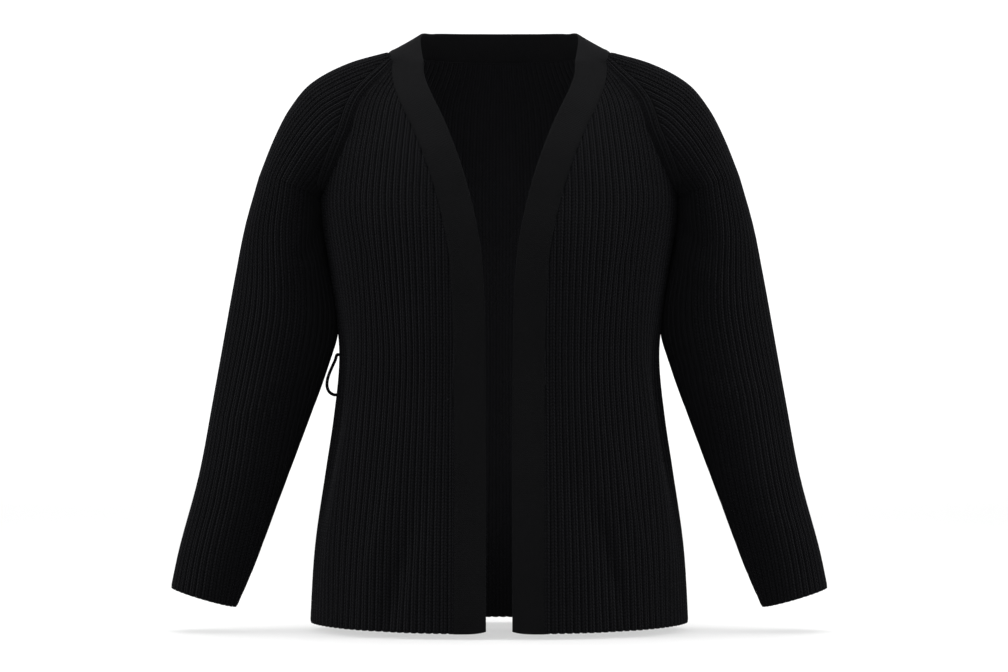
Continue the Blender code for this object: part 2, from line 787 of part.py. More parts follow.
def sleeve():
    """The wearer's left sleeve, one piece closed by a seam under the arm."""
    longest = SLEEVE.half(0.0)
    pairs = round(longest / (2 * SLEEVE_PITCH))
    count = 4 * pairs
    spacing = longest / count
    at_neck = SLEEVE.half(-1.0)
    at_cuff = SLEEVE.half(1.0)
    top_ends, low_ends, places = [], [], []
    for k in range(-count, count + 1):
        a = abs(k) * spacing
        back = k > 0
        if a < at_neck:
            t_top = -1.0
            top_ends.append(1.5 + 0.5 * k * spacing / at_neck)
        else:
            t_top = 0.0 if abs(k) == count else SLEEVE.where_half_is(a, -1.0, 0.0)
            top_ends.append(3.0 + t_top if back else -t_top)
        if a < at_cuff:
            t_low = 1.0
            low_ends.append(1.5 + 0.5 * k * spacing / at_cuff)
        else:
            t_low = 0.0 if abs(k) == count else SLEEVE.where_half_is(a, 0.0, 1.0)
            low_ends.append(3.0 - t_low if back else t_low)
        places.append((k, a, t_top, t_low))
    thicks = [rib_thick(k + 1) for k in range(-count, count + 1)]
    thick_top = lambda q: float(np.interp(q, top_ends, thicks))
    thick_low = lambda q: float(np.interp(q, low_ends, thicks))
    top_q, top_at = with_extras(top_ends, lambda q: sleeve_top(q)[0], must=(1.0, 2.0))
    low_q, low_at = with_extras(low_ends, lambda q: sleeve_low(q)[0], must=(1.0, 2.0))
    top = [layer(*sleeve_top(q), thick_top(q)) for q in top_q]
    low = [layer(*sleeve_low(q), thick_low(q)) for q in low_q]
    low[0] = low[-1] = top[-1] = top[0]
    grid = []
    for (k, a, t_top, t_low), thick in zip(places, thicks):
        points = []
        for r in range(1, SLEEVE_ROWS):
            if abs(k) == count:
                points.append(top[0])
                continue
            t = t_low + (t_top - t_low) * r / SLEEVE_ROWS
            f = math.copysign(min(a / SLEEVE.half(t), 1.0), k)
            points.append(layer(SLEEVE.point(t, f), SLEEVE.normal(t, f), thick))
        grid.append(points)
    strip = [1.0 - 1e-9 < q < 2.0 - 1e-9 for q in low_q[:-1]]
    return wall(grid, top, top_at, low, low_at, 4, strip)


def band():
    """The band that edges both fronts and stands up round the back of the neck."""
    stops = [3.0]
    for start, steps in zip((2.0, 1.0, 0.0, -1.0), BAND_STEPS):
        stops = [start + k / steps for k in range(steps)] + stops
    half = 0.5 * SEAM_GAP
    across = (0.0, 0.5, 1.0)
    stations = []
    for q in stops:
        p, n, into = NECKLINE.frame(q)
        _, edge = NECKLINE.band(q)
        row = []
        for s in across:
            point = p - into * half + (edge - p) * s
            row.append((point - n * (PEAK - BAND_THICK), point - n * PEAK))
        stations.append(row)
    flip = np.array([-1.0, 1.0, 1.0])
    other = [[(a * flip, b * flip) for a, b in row] for row in stations[-2::-1]]
    stations = stations + other
    grid = [[row[1]] for row in stations]
    bottom = [row[0] for row in stations]
    top = [row[2] for row in stations]
    count = list(range(len(stations)))
    return wall(grid, top, count, bottom, count, 1)


def belt_loop():
    """A narrow knitted strip that stands out from the side seam and holds a belt."""
    side = 0.5 * LOOP_WIDTH
    bm = bmesh.new()
    rings = []
    half_at = lambda z: look_up(BODY, BODY_COLUMNS, "z", z, "half_width")
    outs = column(LOOP, LOOP_COLUMNS, "out")
    levels = column(LOOP, LOOP_COLUMNS, "z")
    path = [np.array([half_at(z) + out, z]) for out, z in zip(outs, levels)]
    for i, p in enumerate(path):
        low, high = max(i - 1, 0), min(i + 1, len(path) - 1)
        along = unit(path[high] - path[low])
        away = np.array([-along[1], along[0]]) * 0.5 * LOOP_THICK
        ring = []
        for turn in np.linspace(0.0, 2 * math.pi, 9)[:-1]:
            c = math.copysign(abs(math.cos(turn)) ** LOOP_CORNER, math.cos(turn))
            s = math.copysign(abs(math.sin(turn)) ** LOOP_CORNER, math.sin(turn))
            xz = p + away * s
            ring.append(bm.verts.new((-xz[0], side * c, xz[1])))
        rings.append(ring)
    for a, b in zip(rings, rings[1:]):
        for i in range(8):
            j = (i + 1) % 8
            bm.faces.new([a[i], a[j], b[j], b[i]])
    bm.faces.new(rings[0][::-1])
    bm.faces.new(rings[-1])
    bmesh.ops.recalc_face_normals(bm, faces=bm.faces)
    return bm


def mirrored(bm):
    """A copy of the piece for the other side of the body."""
    other = bm.copy()
    for vert in other.verts:
        vert.co.x = -vert.co.x
    bmesh.ops.reverse_faces(other, faces=other.faces)
    return other


def material(name, colour, roughness):
    mat = bpy.data.materials.new(name)
    mat.use_nodes = True
    shader = mat.node_tree.nodes["Principled BSDF"]
    shader.inputs["Base Color"].default_value = colour
    shader.inputs["Roughness"].default_value = roughness
    shader.inputs["Metallic"].default_value = 0.0
    return mat


def add_piece(collection, name, bm, mat):
    mesh = bpy.data.meshes.new(name)
    bm.to_mesh(mesh)
    bm.free()
    mesh.materials.append(mat)
    obj = bpy.data.objects.new(name, mesh)
    collection.objects.link(obj)
    return obj


def main():
    for obj in list(bpy.data.objects):
        bpy.data.objects.remove(obj, do_unlink=True)
    cardigan = bpy.data.collections.new("rib_cardigan")
    bpy.context.scene.collection.children.link(cardigan)
    rib = material("rib_knit_black", BLACK, 0.95)
    edge = material("band_knit_black", BAND_BLACK, 0.9)
    left_front = front_panel()
    left_sleeve = sleeve()
    add_piece(cardigan, "front_right", mirrored(left_front), rib)
    add_piece(cardigan, "front_left", left_front, rib)
    add_piece(cardigan, "sleeve_right", mirrored(left_sleeve), rib)
    add_piece(cardigan, "sleeve_left", left_sleeve, rib)
    add_piece(cardigan, "back", back_panel(), rib)
    add_piece(cardigan, "front_and_neck_band", band(), edge)
    add_piece(cardigan, "belt_loop", belt_loop(), edge)


main()
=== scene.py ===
"""Black rib-knit cardigan, filled out as it is worn, on a plain white studio floor.

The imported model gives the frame. Each knitted piece is made again here at the pitch of its own
ribs, on the form of its solid.
"""

import math

import bmesh
import bpy
import numpy as np
from bpy.props import FloatProperty, FloatVectorProperty, IntProperty, PointerProperty
from bpy.types import Operator, Panel, PropertyGroup
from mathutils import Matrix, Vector
from mathutils.kdtree import KDTree


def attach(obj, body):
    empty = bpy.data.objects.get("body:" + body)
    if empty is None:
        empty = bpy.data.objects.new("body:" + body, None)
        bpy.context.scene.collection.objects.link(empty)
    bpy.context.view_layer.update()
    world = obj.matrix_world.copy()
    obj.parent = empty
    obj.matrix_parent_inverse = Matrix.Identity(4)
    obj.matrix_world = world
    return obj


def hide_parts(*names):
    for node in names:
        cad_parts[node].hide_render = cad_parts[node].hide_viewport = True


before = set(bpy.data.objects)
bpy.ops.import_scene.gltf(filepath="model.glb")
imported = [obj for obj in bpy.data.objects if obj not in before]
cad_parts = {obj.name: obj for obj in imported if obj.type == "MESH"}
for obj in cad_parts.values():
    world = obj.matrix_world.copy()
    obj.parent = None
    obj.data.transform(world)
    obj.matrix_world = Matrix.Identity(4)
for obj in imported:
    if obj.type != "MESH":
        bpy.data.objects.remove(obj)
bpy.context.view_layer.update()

bl_info = {
    "name": "Rib Cardigan",
    "version": (1, 0, 0),
    "blender": (4, 5, 0),
    "location": "3D View > Sidebar > Cardigan",
    "description": "An open-fronted raglan cardigan in fisherman's rib, piece by piece",
    "category": "Object",
}

# The photograph and how it is seen
PHOTO_SIZE = (1008, 672)
METRES_PER_PIXEL = 0.00112
MIDDLE_PIXEL_X = 499.3
SHOULDER_PIXEL_Y = 60.0
CAMERA_DISTANCE = 4.2

# The garment's levels and widths
HEM_Z = -0.6328
HEM_RISE = 0.004
UNDERARM_Z = -0.157
BAND_X = 0.0478
BAND_WIDTH = 0.0335
ROUNDNESS = 2.4
BODY_PITCH = 0.0085
SLEEVE_PITCH = 0.0076
SEAM_GAP = 0.0003
WALL = 0.0032  # the solid wall under a crest

BODY_COLUMNS = ("z", "half_width", "front", "back")
BODY = [
    (-0.6400, 0.2095, 0.1372, 0.1225),
    (-0.5450, 0.2035, 0.1345, 0.1180),
    (-0.4600, 0.1920, 0.1310, 0.1120),
    (-0.4000, 0.1835, 0.1280, 0.1080),
    (-0.3400, 0.1780, 0.1260, 0.1050),
    (-0.2900, 0.1805, 0.1285, 0.1060),
    (-0.2350, 0.1875, 0.1315, 0.1110),
    (-0.1900, 0.1955, 0.1290, 0.1160),
    (-0.1570, 0.1990, 0.1220, 0.1180),
    (-0.1160, 0.1940, 0.1110, 0.1170),
    (-0.0870, 0.1880, 0.0990, 0.1140),
    (-0.0450, 0.1750, 0.0770, 0.1050),
    (-0.0060, 0.1430, 0.0500, 0.0940),
    (0.0085, 0.1350, 0.0400, 0.0890),
    (0.0250, 0.1300, 0.0350, 0.0850),
]

FOLD_COLUMNS = ("side", "upper_angle", "lower_angle", "upper_z", "lower_z", "spread", "height")
FOLDS = [
    ("front", 50.0, 66.0, -0.215, -0.640, 8.0, 0.0075),
    ("front", 74.0, 79.0, -0.240, -0.560, 7.0, -0.0060),
    ("front", 22.0, 36.0, -0.420, -0.700, 6.0, -0.0045),
    ("front", 30.0, 20.0, -0.200, -0.420, 8.0, 0.0025),
    ("back", 46.0, 58.0, -0.230, -0.640, 9.0, 0.0065),
    ("back", 20.0, 30.0, -0.360, -0.700, 7.0, -0.0050),
    ("back", 70.0, 76.0, -0.250, -0.560, 7.0, -0.0045),
]

V_COLUMNS = ("x", "z")
V_SEAM = [
    (0.0478, -0.3900),
    (0.0488, -0.3050),
    (0.0501, -0.2600),
    (0.0528, -0.2230),
    (0.0573, -0.1950),
    (0.0623, -0.1720),
    (0.0685, -0.1480),
    (0.0773, -0.1206),
    (0.0906, -0.0862),
    (0.1085, -0.0483),
    (0.1165, -0.0241),
    (0.1180, -0.0060),
]

RAGLAN_COLUMNS = ("run", "z", "angle")
FRONT_RAGLAN = [
    (0.00, -0.0060, 52.5),
    (0.25, -0.0450, 58.0),
    (0.45, -0.0870, 61.0),
    (0.60, -0.1160, 67.0),
    (0.75, -0.1400, 76.0),
    (1.00, UNDERARM_Z, 90.0),
]
BACK_RAGLAN = [
    (0.00, 0.0085, 44.0),
    (0.25, -0.0350, 50.0),
    (0.45, -0.0780, 56.5),
    (0.60, -0.1080, 64.0),
    (0.75, -0.1360, 74.0),
    (1.00, UNDERARM_Z, 90.0),
]
NECK_MIDDLE_Z = 0.0040

CAP_COLUMNS = ("run", "x", "y", "z", "depth", "span")
CAP = [
    (0.00, 0.1225, -0.0020, 0.0095, 0.0580, 58.0),
    (0.25, 0.1720, 0.0030, -0.0045, 0.0620, 68.0),
    (0.45, 0.2120, 0.0050, -0.0265, 0.0625, 90.0),
    (0.60, 0.2355, 0.0050, -0.0550, 0.0610, 112.0),
    (0.75, 0.2520, 0.0040, -0.0870, 0.0605, 138.0),
    (1.00, 0.2690, 0.0020, -0.1300, 0.0610, 180.0),
]

TUBE_COLUMNS = ("run", "outer_x", "outer_z", "inner_x", "inner_z", "depth", "y")
TUBE = [
    (0.00, 0.2690, -0.1300, 0.1990, -0.1570, 0.0610, 0.0020),
    (0.11, 0.2845, -0.1850, 0.1970, -0.2080, 0.0600, 0.0010),
    (0.23, 0.2955, -0.2400, 0.1840, -0.2720, 0.0535, 0.0000),
    (0.30, 0.3015, -0.2725, 0.1830, -0.3070, 0.0505, -0.0005),
    (0.37, 0.3072, -0.3050, 0.1912, -0.3430, 0.0495, -0.0010),
    (0.52, 0.3205, -0.3800, 0.2165, -0.4130, 0.0495, -0.0030),
    (0.70, 0.3362, -0.4650, 0.2460, -0.4920, 0.0455, -0.0060),
    (0.88, 0.3575, -0.5450, 0.2735, -0.5660, 0.0405, -0.0090),
    (1.00, 0.3670, -0.5900, 0.2932, -0.6120, 0.0360, -0.0110),
]
CAP_LENGTH = 0.215
TUBE_LENGTH = 0.475
TAPER_STEP = 1.006

NECK_COLUMNS = ("place", "free_edge")
NECK = [
    ("shoulder", (0.0885, 0.0010, 0.0280)),
    ("back_corner", (0.0760, 0.0560, 0.0345)),
    ("back_side", (0.0440, 0.0780, 0.0358)),
    ("back_middle", (0.0000, 0.0850, 0.0360)),
]

LOOP_COLUMNS = ("out", "z")
LOOP = [
    (0.0014, -0.3300),
    (0.0040, -0.3304),
    (0.0058, -0.3360),
    (0.0088, -0.3430),
    (0.0120, -0.3515),
    (0.0136, -0.3590),
    (0.0130, -0.3665),
    (0.0098, -0.3720),
    (0.0050, -0.3748),
    (0.0014, -0.3750),
]
LOOP_WIDTH = 0.0070
LOOP_THICK = 0.0036
LOOP_RINGS = 90
LOOP_ROUND = 24
LOOP_STITCH = 0.0026

# Fineness of the knitted meshes
SEAM_CUT = 0.0001  # each rib stops this far below its seam
SEAM_LAP = 0.0026  # how far the sleeve's edge is worked in under the body along the raglan
STRIP_WIDTH = 0.0135  # the two ribs that follow the raglan on the sleeve
COLUMNS_PER_RIB = 10
LOW_ROWS = 36
HIGH_ROWS = 50
STRIP_COLUMNS = 10  # for each rib beside the raglan
LEG_DIP = 0.34  # share of a rib's depth by which it dips between its two legs
NECK_END = 0.02  # added to the length of a rib that doesn't end in a rounded edge
UNDERARM_FULLNESS = 0.0034  # by which the sleeve fills out to the body's side
BAND_STATIONS = 330
BAND_STITCH = 0.0024  # width of one stitch of the band
BAND_CORNER = 0.0030  # how far the band's lower corners are drawn up
BAND_OVERLAP = 0.0018  # how far the band's edge is worked into the ribbed cloth
ROW_TURN = 0.62  # share of a rib's length that the low rows take
STITCH = 0.0036  # height of one stitch


def column(rows, names, name):
    """One named column of a table."""
    return [row[names.index(name)] for row in rows]


def smooth(keys, values, at):
    """Cubic through the values at their keys, for a number or an array of places."""
    keys = np.asarray(keys, float)
    values = np.asarray(values, float)
    at = np.clip(np.asarray(at, float), keys[0], keys[-1])
    count = len(keys)
    i = np.clip(np.searchsorted(keys, at, side="right") - 1, 0, count - 2)
    low = np.maximum(np.arange(count) - 1, 0)
    high = np.minimum(np.arange(count) + 1, count - 1)
    spans = keys[high] - keys[low]
    step = keys[i + 1] - keys[i]
    s = (at - keys[i]) / step
    if values.ndim > 1:
        spans = spans[:, None]
        step = step[..., None]
        s = s[..., None]
    slopes = (values[high] - values[low]) / spans
    bend = slopes[i] * step * s * (1 - s) ** 2 - slopes[i + 1] * step * s * s * (1 - s)
    return values[i] + (values[i + 1] - values[i]) * s * s * (3 - 2 * s) + bend


def look_up(rows, names, key, at, name):
    return smooth(column(rows, names, key), column(rows, names, name), at)


def unit(v):
    v = np.asarray(v, float)
    return v / np.maximum(np.linalg.norm(v, axis=-1, keepdims=True), 1e-12)


def points(x, y, z):
    return np.stack(np.broadcast_arrays(x, y, z), axis=-1).astype(float)


def fold_height(side, angle, z):
    """How far the drape stands out of the plain form."""
    total = np.zeros(np.broadcast(angle, z).shape)
    for name, upper, lower, top, bottom, spread, height in FOLDS:
        if name != side:
            continue
        share = (top - z) / (top - bottom)
        middle = upper + (lower - upper) * share
        length = np.where((share > 0) & (share < 1), np.sin(np.pi * np.clip(share, 0, 1)), 0.0)
        length = np.maximum(length, 0.0) ** 1.5
        total = total + height * length * np.exp(-(((angle - middle) / spread) ** 2))
    return total


def body_point(side, angle, z):
    """Crest surface of the body; the angle in degrees is from the middle of that side."""
    angle, z = np.broadcast_arrays(np.asarray(angle, float), np.asarray(z, float))
    half = look_up(BODY, BODY_COLUMNS, "z", z, "half_width")
    depth = look_up(BODY, BODY_COLUMNS, "z", z, side)
    turn = np.radians(np.abs(angle))
    out = fold_height(side, np.abs(angle), z)
    across = np.abs(np.sin(turn)) ** (2 / ROUNDNESS)
    ahead = np.maximum(np.cos(turn), 0.0) ** (2 / ROUNDNESS)
    x = (half + out * np.sin(turn)) * across * np.where(angle < 0, -1.0, 1.0)
    y = (depth + out * np.cos(turn)) * ahead
    return points(x, -y if side == "front" else y, z)


def angle_at(side, x, z):
    """Angle round the body at which it is x wide of the middle."""
    low = np.zeros(np.broadcast(x, z).shape)
    high = low + 90.0
    for _ in range(34):
        mid = 0.5 * (low + high)
        inside = body_point(side, mid, z)[..., 0] < x
        low = np.where(inside, mid, low)
        high = np.where(inside, high, mid)
    return 0.5 * (low + high)


def body_normal(side, angle, z):
    step = 1.0
    middle = np.clip(angle, 0.0, 89.0)
    round_it = body_point(side, middle + step, z) - body_point(side, middle - step, z)
    up = body_point(side, middle, z + 0.004) - body_point(side, middle, z - 0.004)
    n = np.cross(round_it, up)
    return unit(n if side == "front" else -n)


def seam_place(side, v):
    """Angle and level on the top edge of a body panel's right half.

    In front v runs 0 to 1 up the V and 1 to 2 down the raglan. Behind it runs 0 to 1 from the
    middle of the neck to its corner and 1 to 2 down the raglan.
    """
    v = np.asarray(v, float)
    rows = FRONT_RAGLAN if side == "front" else BACK_RAGLAN
    run = np.clip(v - 1.0, 0.0, 1.0)
    low_angle = look_up(rows, RAGLAN_COLUMNS, "run", run, "angle")
    low_z = look_up(rows, RAGLAN_COLUMNS, "run", run, "z")
    first = np.clip(v, 0.0, 1.0)
    if side == "front":
        keys = np.linspace(0.0, 1.0, len(V_SEAM))
        x = smooth(keys, column(V_SEAM, V_COLUMNS, "x"), first)
        z = smooth(keys, column(V_SEAM, V_COLUMNS, "z"), first)
        angle = angle_at(side, x, z)
    else:
        corner = BACK_RAGLAN[0]
        angle = corner[2] * first
        z = NECK_MIDDLE_Z + (corner[1] - NECK_MIDDLE_Z) * first * first
    return np.where(v < 1.0, angle, low_angle), np.where(v < 1.0, z, low_z)


def seam_point(side, v):
    return body_point(side, *seam_place(side, v))


def sleeve_ring(t, shares):
    """One round of the sleeve; t is -1 at the neck, 0 at the underarm and 1 at the cuff."""
    if t >= 0.0:
        get = lambda name: look_up(TUBE, TUBE_COLUMNS, "run", t, name)
        turn = shares * math.pi
        outer = points(get("outer_x"), 0.0, get("outer_z"))
        inner = points(get("inner_x"), 0.0, get("inner_z"))
        ring = 0.5 * (outer + inner) + 0.5 * (outer - inner) * np.cos(turn)[:, None]
        ring[:, 1] = get("y") + get("depth") * np.sin(turn)
        return ring
    get = lambda name: look_up(CAP, CAP_COLUMNS, "run", 1.0 + t, name)
    front = seam_point("front", 2.0 + t)
    back = seam_point("back", 2.0 + t)
    top = points(get("x"), 0.0, get("z"))
    span = math.radians(float(get("span")))
    ends = 0.5 * (front + back) * np.array([1.0, 0.0, 1.0])
    centre = (ends - top * math.cos(span)) / (1.0 - math.cos(span))
    middle_y = 0.5 * (front[1] + back[1])

    def base(share):
        turn = np.abs(share) * span
        ring = centre + (top - centre) * np.cos(turn)[..., None]
        drift = get("y") + (middle_y - get("y")) * np.abs(share)
        ring[..., 1] = drift + get("depth") * np.sign(share) * np.sin(turn)
        return ring

    ring = base(shares)
    front_fix = front - base(np.array([-1.0]))[0]
    back_fix = back - base(np.array([1.0]))[0]
    fix = np.where((shares < 0)[:, None], front_fix, back_fix)
    return ring + fix * (np.abs(shares) ** 2.5)[:, None]


class SleeveForm:
    """The crest surface of the left sleeve, by t and the share f of the way round."""

    ROUND = 256

    def __init__(self):
        cap = np.linspace(-1.0, 0.0, 33)[:-1]
        tube = np.linspace(0.0, 1.0, 41)
        self.keys = np.concatenate([cap, tube])
        self.shares = np.linspace(-1.0, 1.0, self.ROUND + 1)
        rings, halves = [], []
        for t in self.keys:
            ring = sleeve_ring(float(t), self.shares)
            steps = np.linalg.norm(np.diff(ring, axis=0), axis=1)
            run = np.concatenate([[0.0], np.cumsum(steps)])
            middle = run[self.ROUND // 2]
            front, back = middle, run[-1] - middle
            f = np.where(run < middle, (run - middle) / front, (run - middle) / back)
            rings.append(np.stack([np.interp(self.shares, f, ring[:, k]) for k in range(3)], -1))
            halves.append(0.5 * (front + back))
        self.rings = np.array(rings)
        self.reaches = self.find_reaches(halves)

    def find_reaches(self, halves):
        """Half rounds that only shrink away from the underarm, so that each rib ends once."""
        reaches = list(halves)
        under = int(np.argmin(np.abs(self.keys)))
        for i in range(len(reaches) - 2, under - 1, -1):
            reaches[i] = max(reaches[i], reaches[i + 1] * TAPER_STEP ** 0.6)
        ratio = reaches[under] / halves[under]
        for i in range(under):
            reaches[i] *= 1.0 + (ratio - 1.0) * (1.0 + self.keys[i])
        return np.array(reaches)

    def half(self, t):
        return smooth(self.keys, self.reaches, t)

    def at(self, i, f):
        place = (np.clip(f, -1.0, 1.0) + 1.0) * 0.5 * self.ROUND
        j = np.clip(place.astype(int), 0, self.ROUND - 1)
        w = (place - j)[..., None]
        return self.rings[i, j] * (1 - w) + self.rings[i, j + 1] * w

    def point(self, t, f):
        t, f = np.broadcast_arrays(np.clip(t, -1.0, 1.0).astype(float), np.asarray(f, float))
        count = len(self.keys)
        i = np.clip(np.searchsorted(self.keys, t, side="right") - 1, 0, count - 2)
        low, high = np.maximum(i - 1, 0), np.minimum(i + 2, count - 1)
        a, b, c, d = (self.at(k, f) for k in (low, i, i + 1, high))
        keys = self.keys
        step = (keys[i + 1] - keys[i])[..., None]
        slope_b = (c - a) / (keys[i + 1] - keys[low])[..., None]
        slope_c = (d - b) / (keys[high] - keys[i])[..., None]
        s = (t - keys[i])[..., None] / step
        bend = slope_b * step * s * (1 - s) ** 2 - slope_c * step * s * s * (1 - s)
        p = b + (c - b) * s * s * (3 - 2 * s) + bend
        under_arm = (t >= 0) & (np.abs(f) > 1.0 - 1e-9)
        if under_arm.any():
            p[under_arm, 1] = look_up(TUBE, TUBE_COLUMNS, "run", t[under_arm], "y")
        return p

    def normal(self, t, f):
        t, f = np.broadcast_arrays(np.asarray(t, float), np.asarray(f, float))
        e = 0.02
        wrap = (t >= 0) & (np.abs(f) > 1.0 - e)
        low_f = np.where(wrap, 1.0 - e, np.maximum(f - e, -1.0))
        high_f = np.where(wrap, e - 1.0, np.minimum(f + e, 1.0))
        d = 0.012
        near = self.point(np.maximum(t - d, np.where(t < 0, -1.0, 0.0)), f)
        far = self.point(np.minimum(t + d, 1.0), f)
        return unit(np.cross(self.point(t, high_f) - self.point(t, low_f), near - far))

    def where_half_is(self, length, low, high):
        """The t between low and high at which the half round has each length."""
        low = np.full(len(length), low, float)
        high = np.full(len(length), high, float)
        rising = self.half(high) > self.half(low)
        for _ in range(40):
            mid = 0.5 * (low + high)
            below = (self.half(mid) < length) == rising
            low = np.where(below, mid, low)
            high = np.where(below, high, mid)
        return 0.5 * (low + high)


SLEEVE = SleeveForm()


def seam_tree(samples):
    """Nearest-point search over a seam's line."""
    tree = KDTree(len(samples))
    for i, p in enumerate(samples):
        tree.insert(p, i)
    tree.balance()
    return tree


def distance_to(tree, p):
    flat = p.reshape(-1, 3)
    found = np.array([tree.find(v)[2] for v in flat])
    return found.reshape(p.shape[:-1])


RUN_SAMPLES = np.linspace(1.0, 2.0, 420)
RAGLANS = {
    -1: seam_tree(seam_point("front", RUN_SAMPLES)),
    1: seam_tree(seam_point("back", RUN_SAMPLES)),
}


def ease(value):
    """Smooth step from 0 to 1."""
    value = np.clip(value, 0.0, 1.0)
    return value * value * (3.0 - 2.0 * value)


def grid_normals(p):
    """Unit normals away from the body's axis, from the directions of a grid's two sets of lines."""
    across = np.gradient(p, axis=0)
    along = np.gradient(p, axis=1)
    normal = unit(np.cross(across, along))
    outward = np.sum(normal * p * np.array([1.0, 1.0, 0.0]))
    return normal * np.sign(outward)


def rib_profile(phase):
    """0 in the groove and 1 on the rib, which dips between its two legs."""
    wave = np.abs(np.sin(np.pi * phase))
    return wave ** 0.75 - LEG_DIP * np.maximum(wave - 0.95, 0.0) / 0.05


def row_shares():
    """Places of the rows along a rib, close together at its lower edge and in its upper part."""
    edge = np.array([0.0, 0.0022, 0.0060])
    low = np.linspace(0.012, ROW_TURN, LOW_ROWS)
    high = np.linspace(ROW_TURN, 1.0, HIGH_ROWS + 1)[1:]
    return np.concatenate([edge, low, high[:-1], [0.5 * (high[-2] + 1.0), 1.0]])


class Wall:
    """A closed knitted wall made from a grid of places on the crest surface."""

    def __init__(self, place, normal, phase, length, settings):
        self.place = place
        self.normal = normal
        self.phase = phase
        self.length = length
        self.settings = settings
        self.press = np.zeros(place.shape[:2])
        self.welt = np.zeros(place.shape[:2])

    def press_seam(self, distance, strength=1.0):
        """Draws the cloth in along a seam."""
        reach = self.settings.seam_reach
        self.press = np.maximum(self.press, strength * np.exp(-((distance / reach) ** 2)))

    def fill_seam(self, distance):
        """Levels the grooves along a seam that joins two edges of ribs."""
        self.welt = np.maximum(self.welt, np.exp(-((distance / 0.0032) ** 2)))

    def faces(self, step):
        count, rows = self.place.shape[:2]
        outer = np.arange(count * rows).reshape(count, rows)
        kept = np.arange(0, count, step)
        if kept[-1] != count - 1:
            kept = np.append(kept, count - 1)
        inner = count * rows + np.arange(len(kept) * rows).reshape(len(kept), rows)

        def quads(grid):
            a, b, c, d = grid[:-1, :-1], grid[1:, :-1], grid[1:, 1:], grid[:-1, 1:]
            return np.stack([a, b, c, d], axis=-1).reshape(-1, 4)

        def ends(out, inn):
            return np.stack([out[:-1], inn[:-1], inn[1:], out[1:]], axis=-1)

        four = [quads(outer), quads(inner)[:, ::-1], ends(outer[0], inner[0])]
        four.append(ends(outer[-1], inner[-1])[:, ::-1])
        fans = []
        for row, turned in ((0, False), (rows - 1, True)):
            for j in range(len(kept) - 1):
                a, b = kept[j], kept[j + 1]
                face = list(outer[a:b + 1, row][::-1]) + [inner[j, row], inner[j + 1, row]]
                fans.append(face[::-1] if turned else face)
        return kept, np.concatenate(four), fans

    def build(self, name, step):
        """The mesh object, with a map of rib count across and metres along."""
        s = self.settings
        height = np.maximum(rib_profile(self.phase), 0.85 * self.welt)
        height = height * (1.0 - 0.55 * self.press)
        sink = s.seam_depth * self.press
        out = -s.rib_depth * (1.0 - height) - sink
        rows = self.place.shape[1]
        edge = np.exp(-((self.length / 0.0022) ** 2)) * s.edge_round
        out = out - edge
        inn = -(s.wall + 0.0010 * (1.0 - height)) - 0.5 * sink + 0.6 * edge
        return self.close(name, out, inn, step)

    def close(self, name, out, inn, step):
        kept, four, fans = self.faces(step)
        outer = self.place + self.normal * out[..., None]
        inner = (self.place + self.normal * inn[..., None])[kept]
        verts = np.concatenate([outer.reshape(-1, 3), inner.reshape(-1, 3)])
        u = np.concatenate([self.phase.ravel(), self.phase[kept].ravel() + 0.5])
        v = np.concatenate([self.length.ravel(), self.length[kept].ravel()])
        return make_mesh(name, verts, four.tolist() + fans, np.stack([u, v], axis=-1))


def make_mesh(name, verts, faces, knit):
    """An object from points, faces and one map value a point."""
    mesh = bpy.data.meshes.new(name)
    mesh.from_pydata(verts.tolist(), [], faces)
    mesh.update()
    layer = mesh.uv_layers.new(name="knit")
    corners = np.zeros(len(mesh.loops), dtype=np.int32)
    mesh.loops.foreach_get("vertex_index", corners)
    layer.data.foreach_set("uv", knit[corners].astype(np.float32).ravel())
    mesh.polygons.foreach_set("use_smooth", [True] * len(mesh.polygons))
    obj = bpy.data.objects.new(name, mesh)
    bpy.context.scene.collection.objects.link(obj)
    face_outward(mesh)
    return obj


def face_outward(mesh):
    """Turns the whole closed mesh so that its faces look out."""
    bm = bmesh.new()
    bm.from_mesh(mesh)
    if bm.calc_volume(signed=True) < 0:
        bmesh.ops.reverse_faces(bm, faces=bm.faces)
        bm.to_mesh(mesh)
    bm.free()


def mirror_grid(grid):
    return grid * np.array([-1.0, 1.0, 1.0])


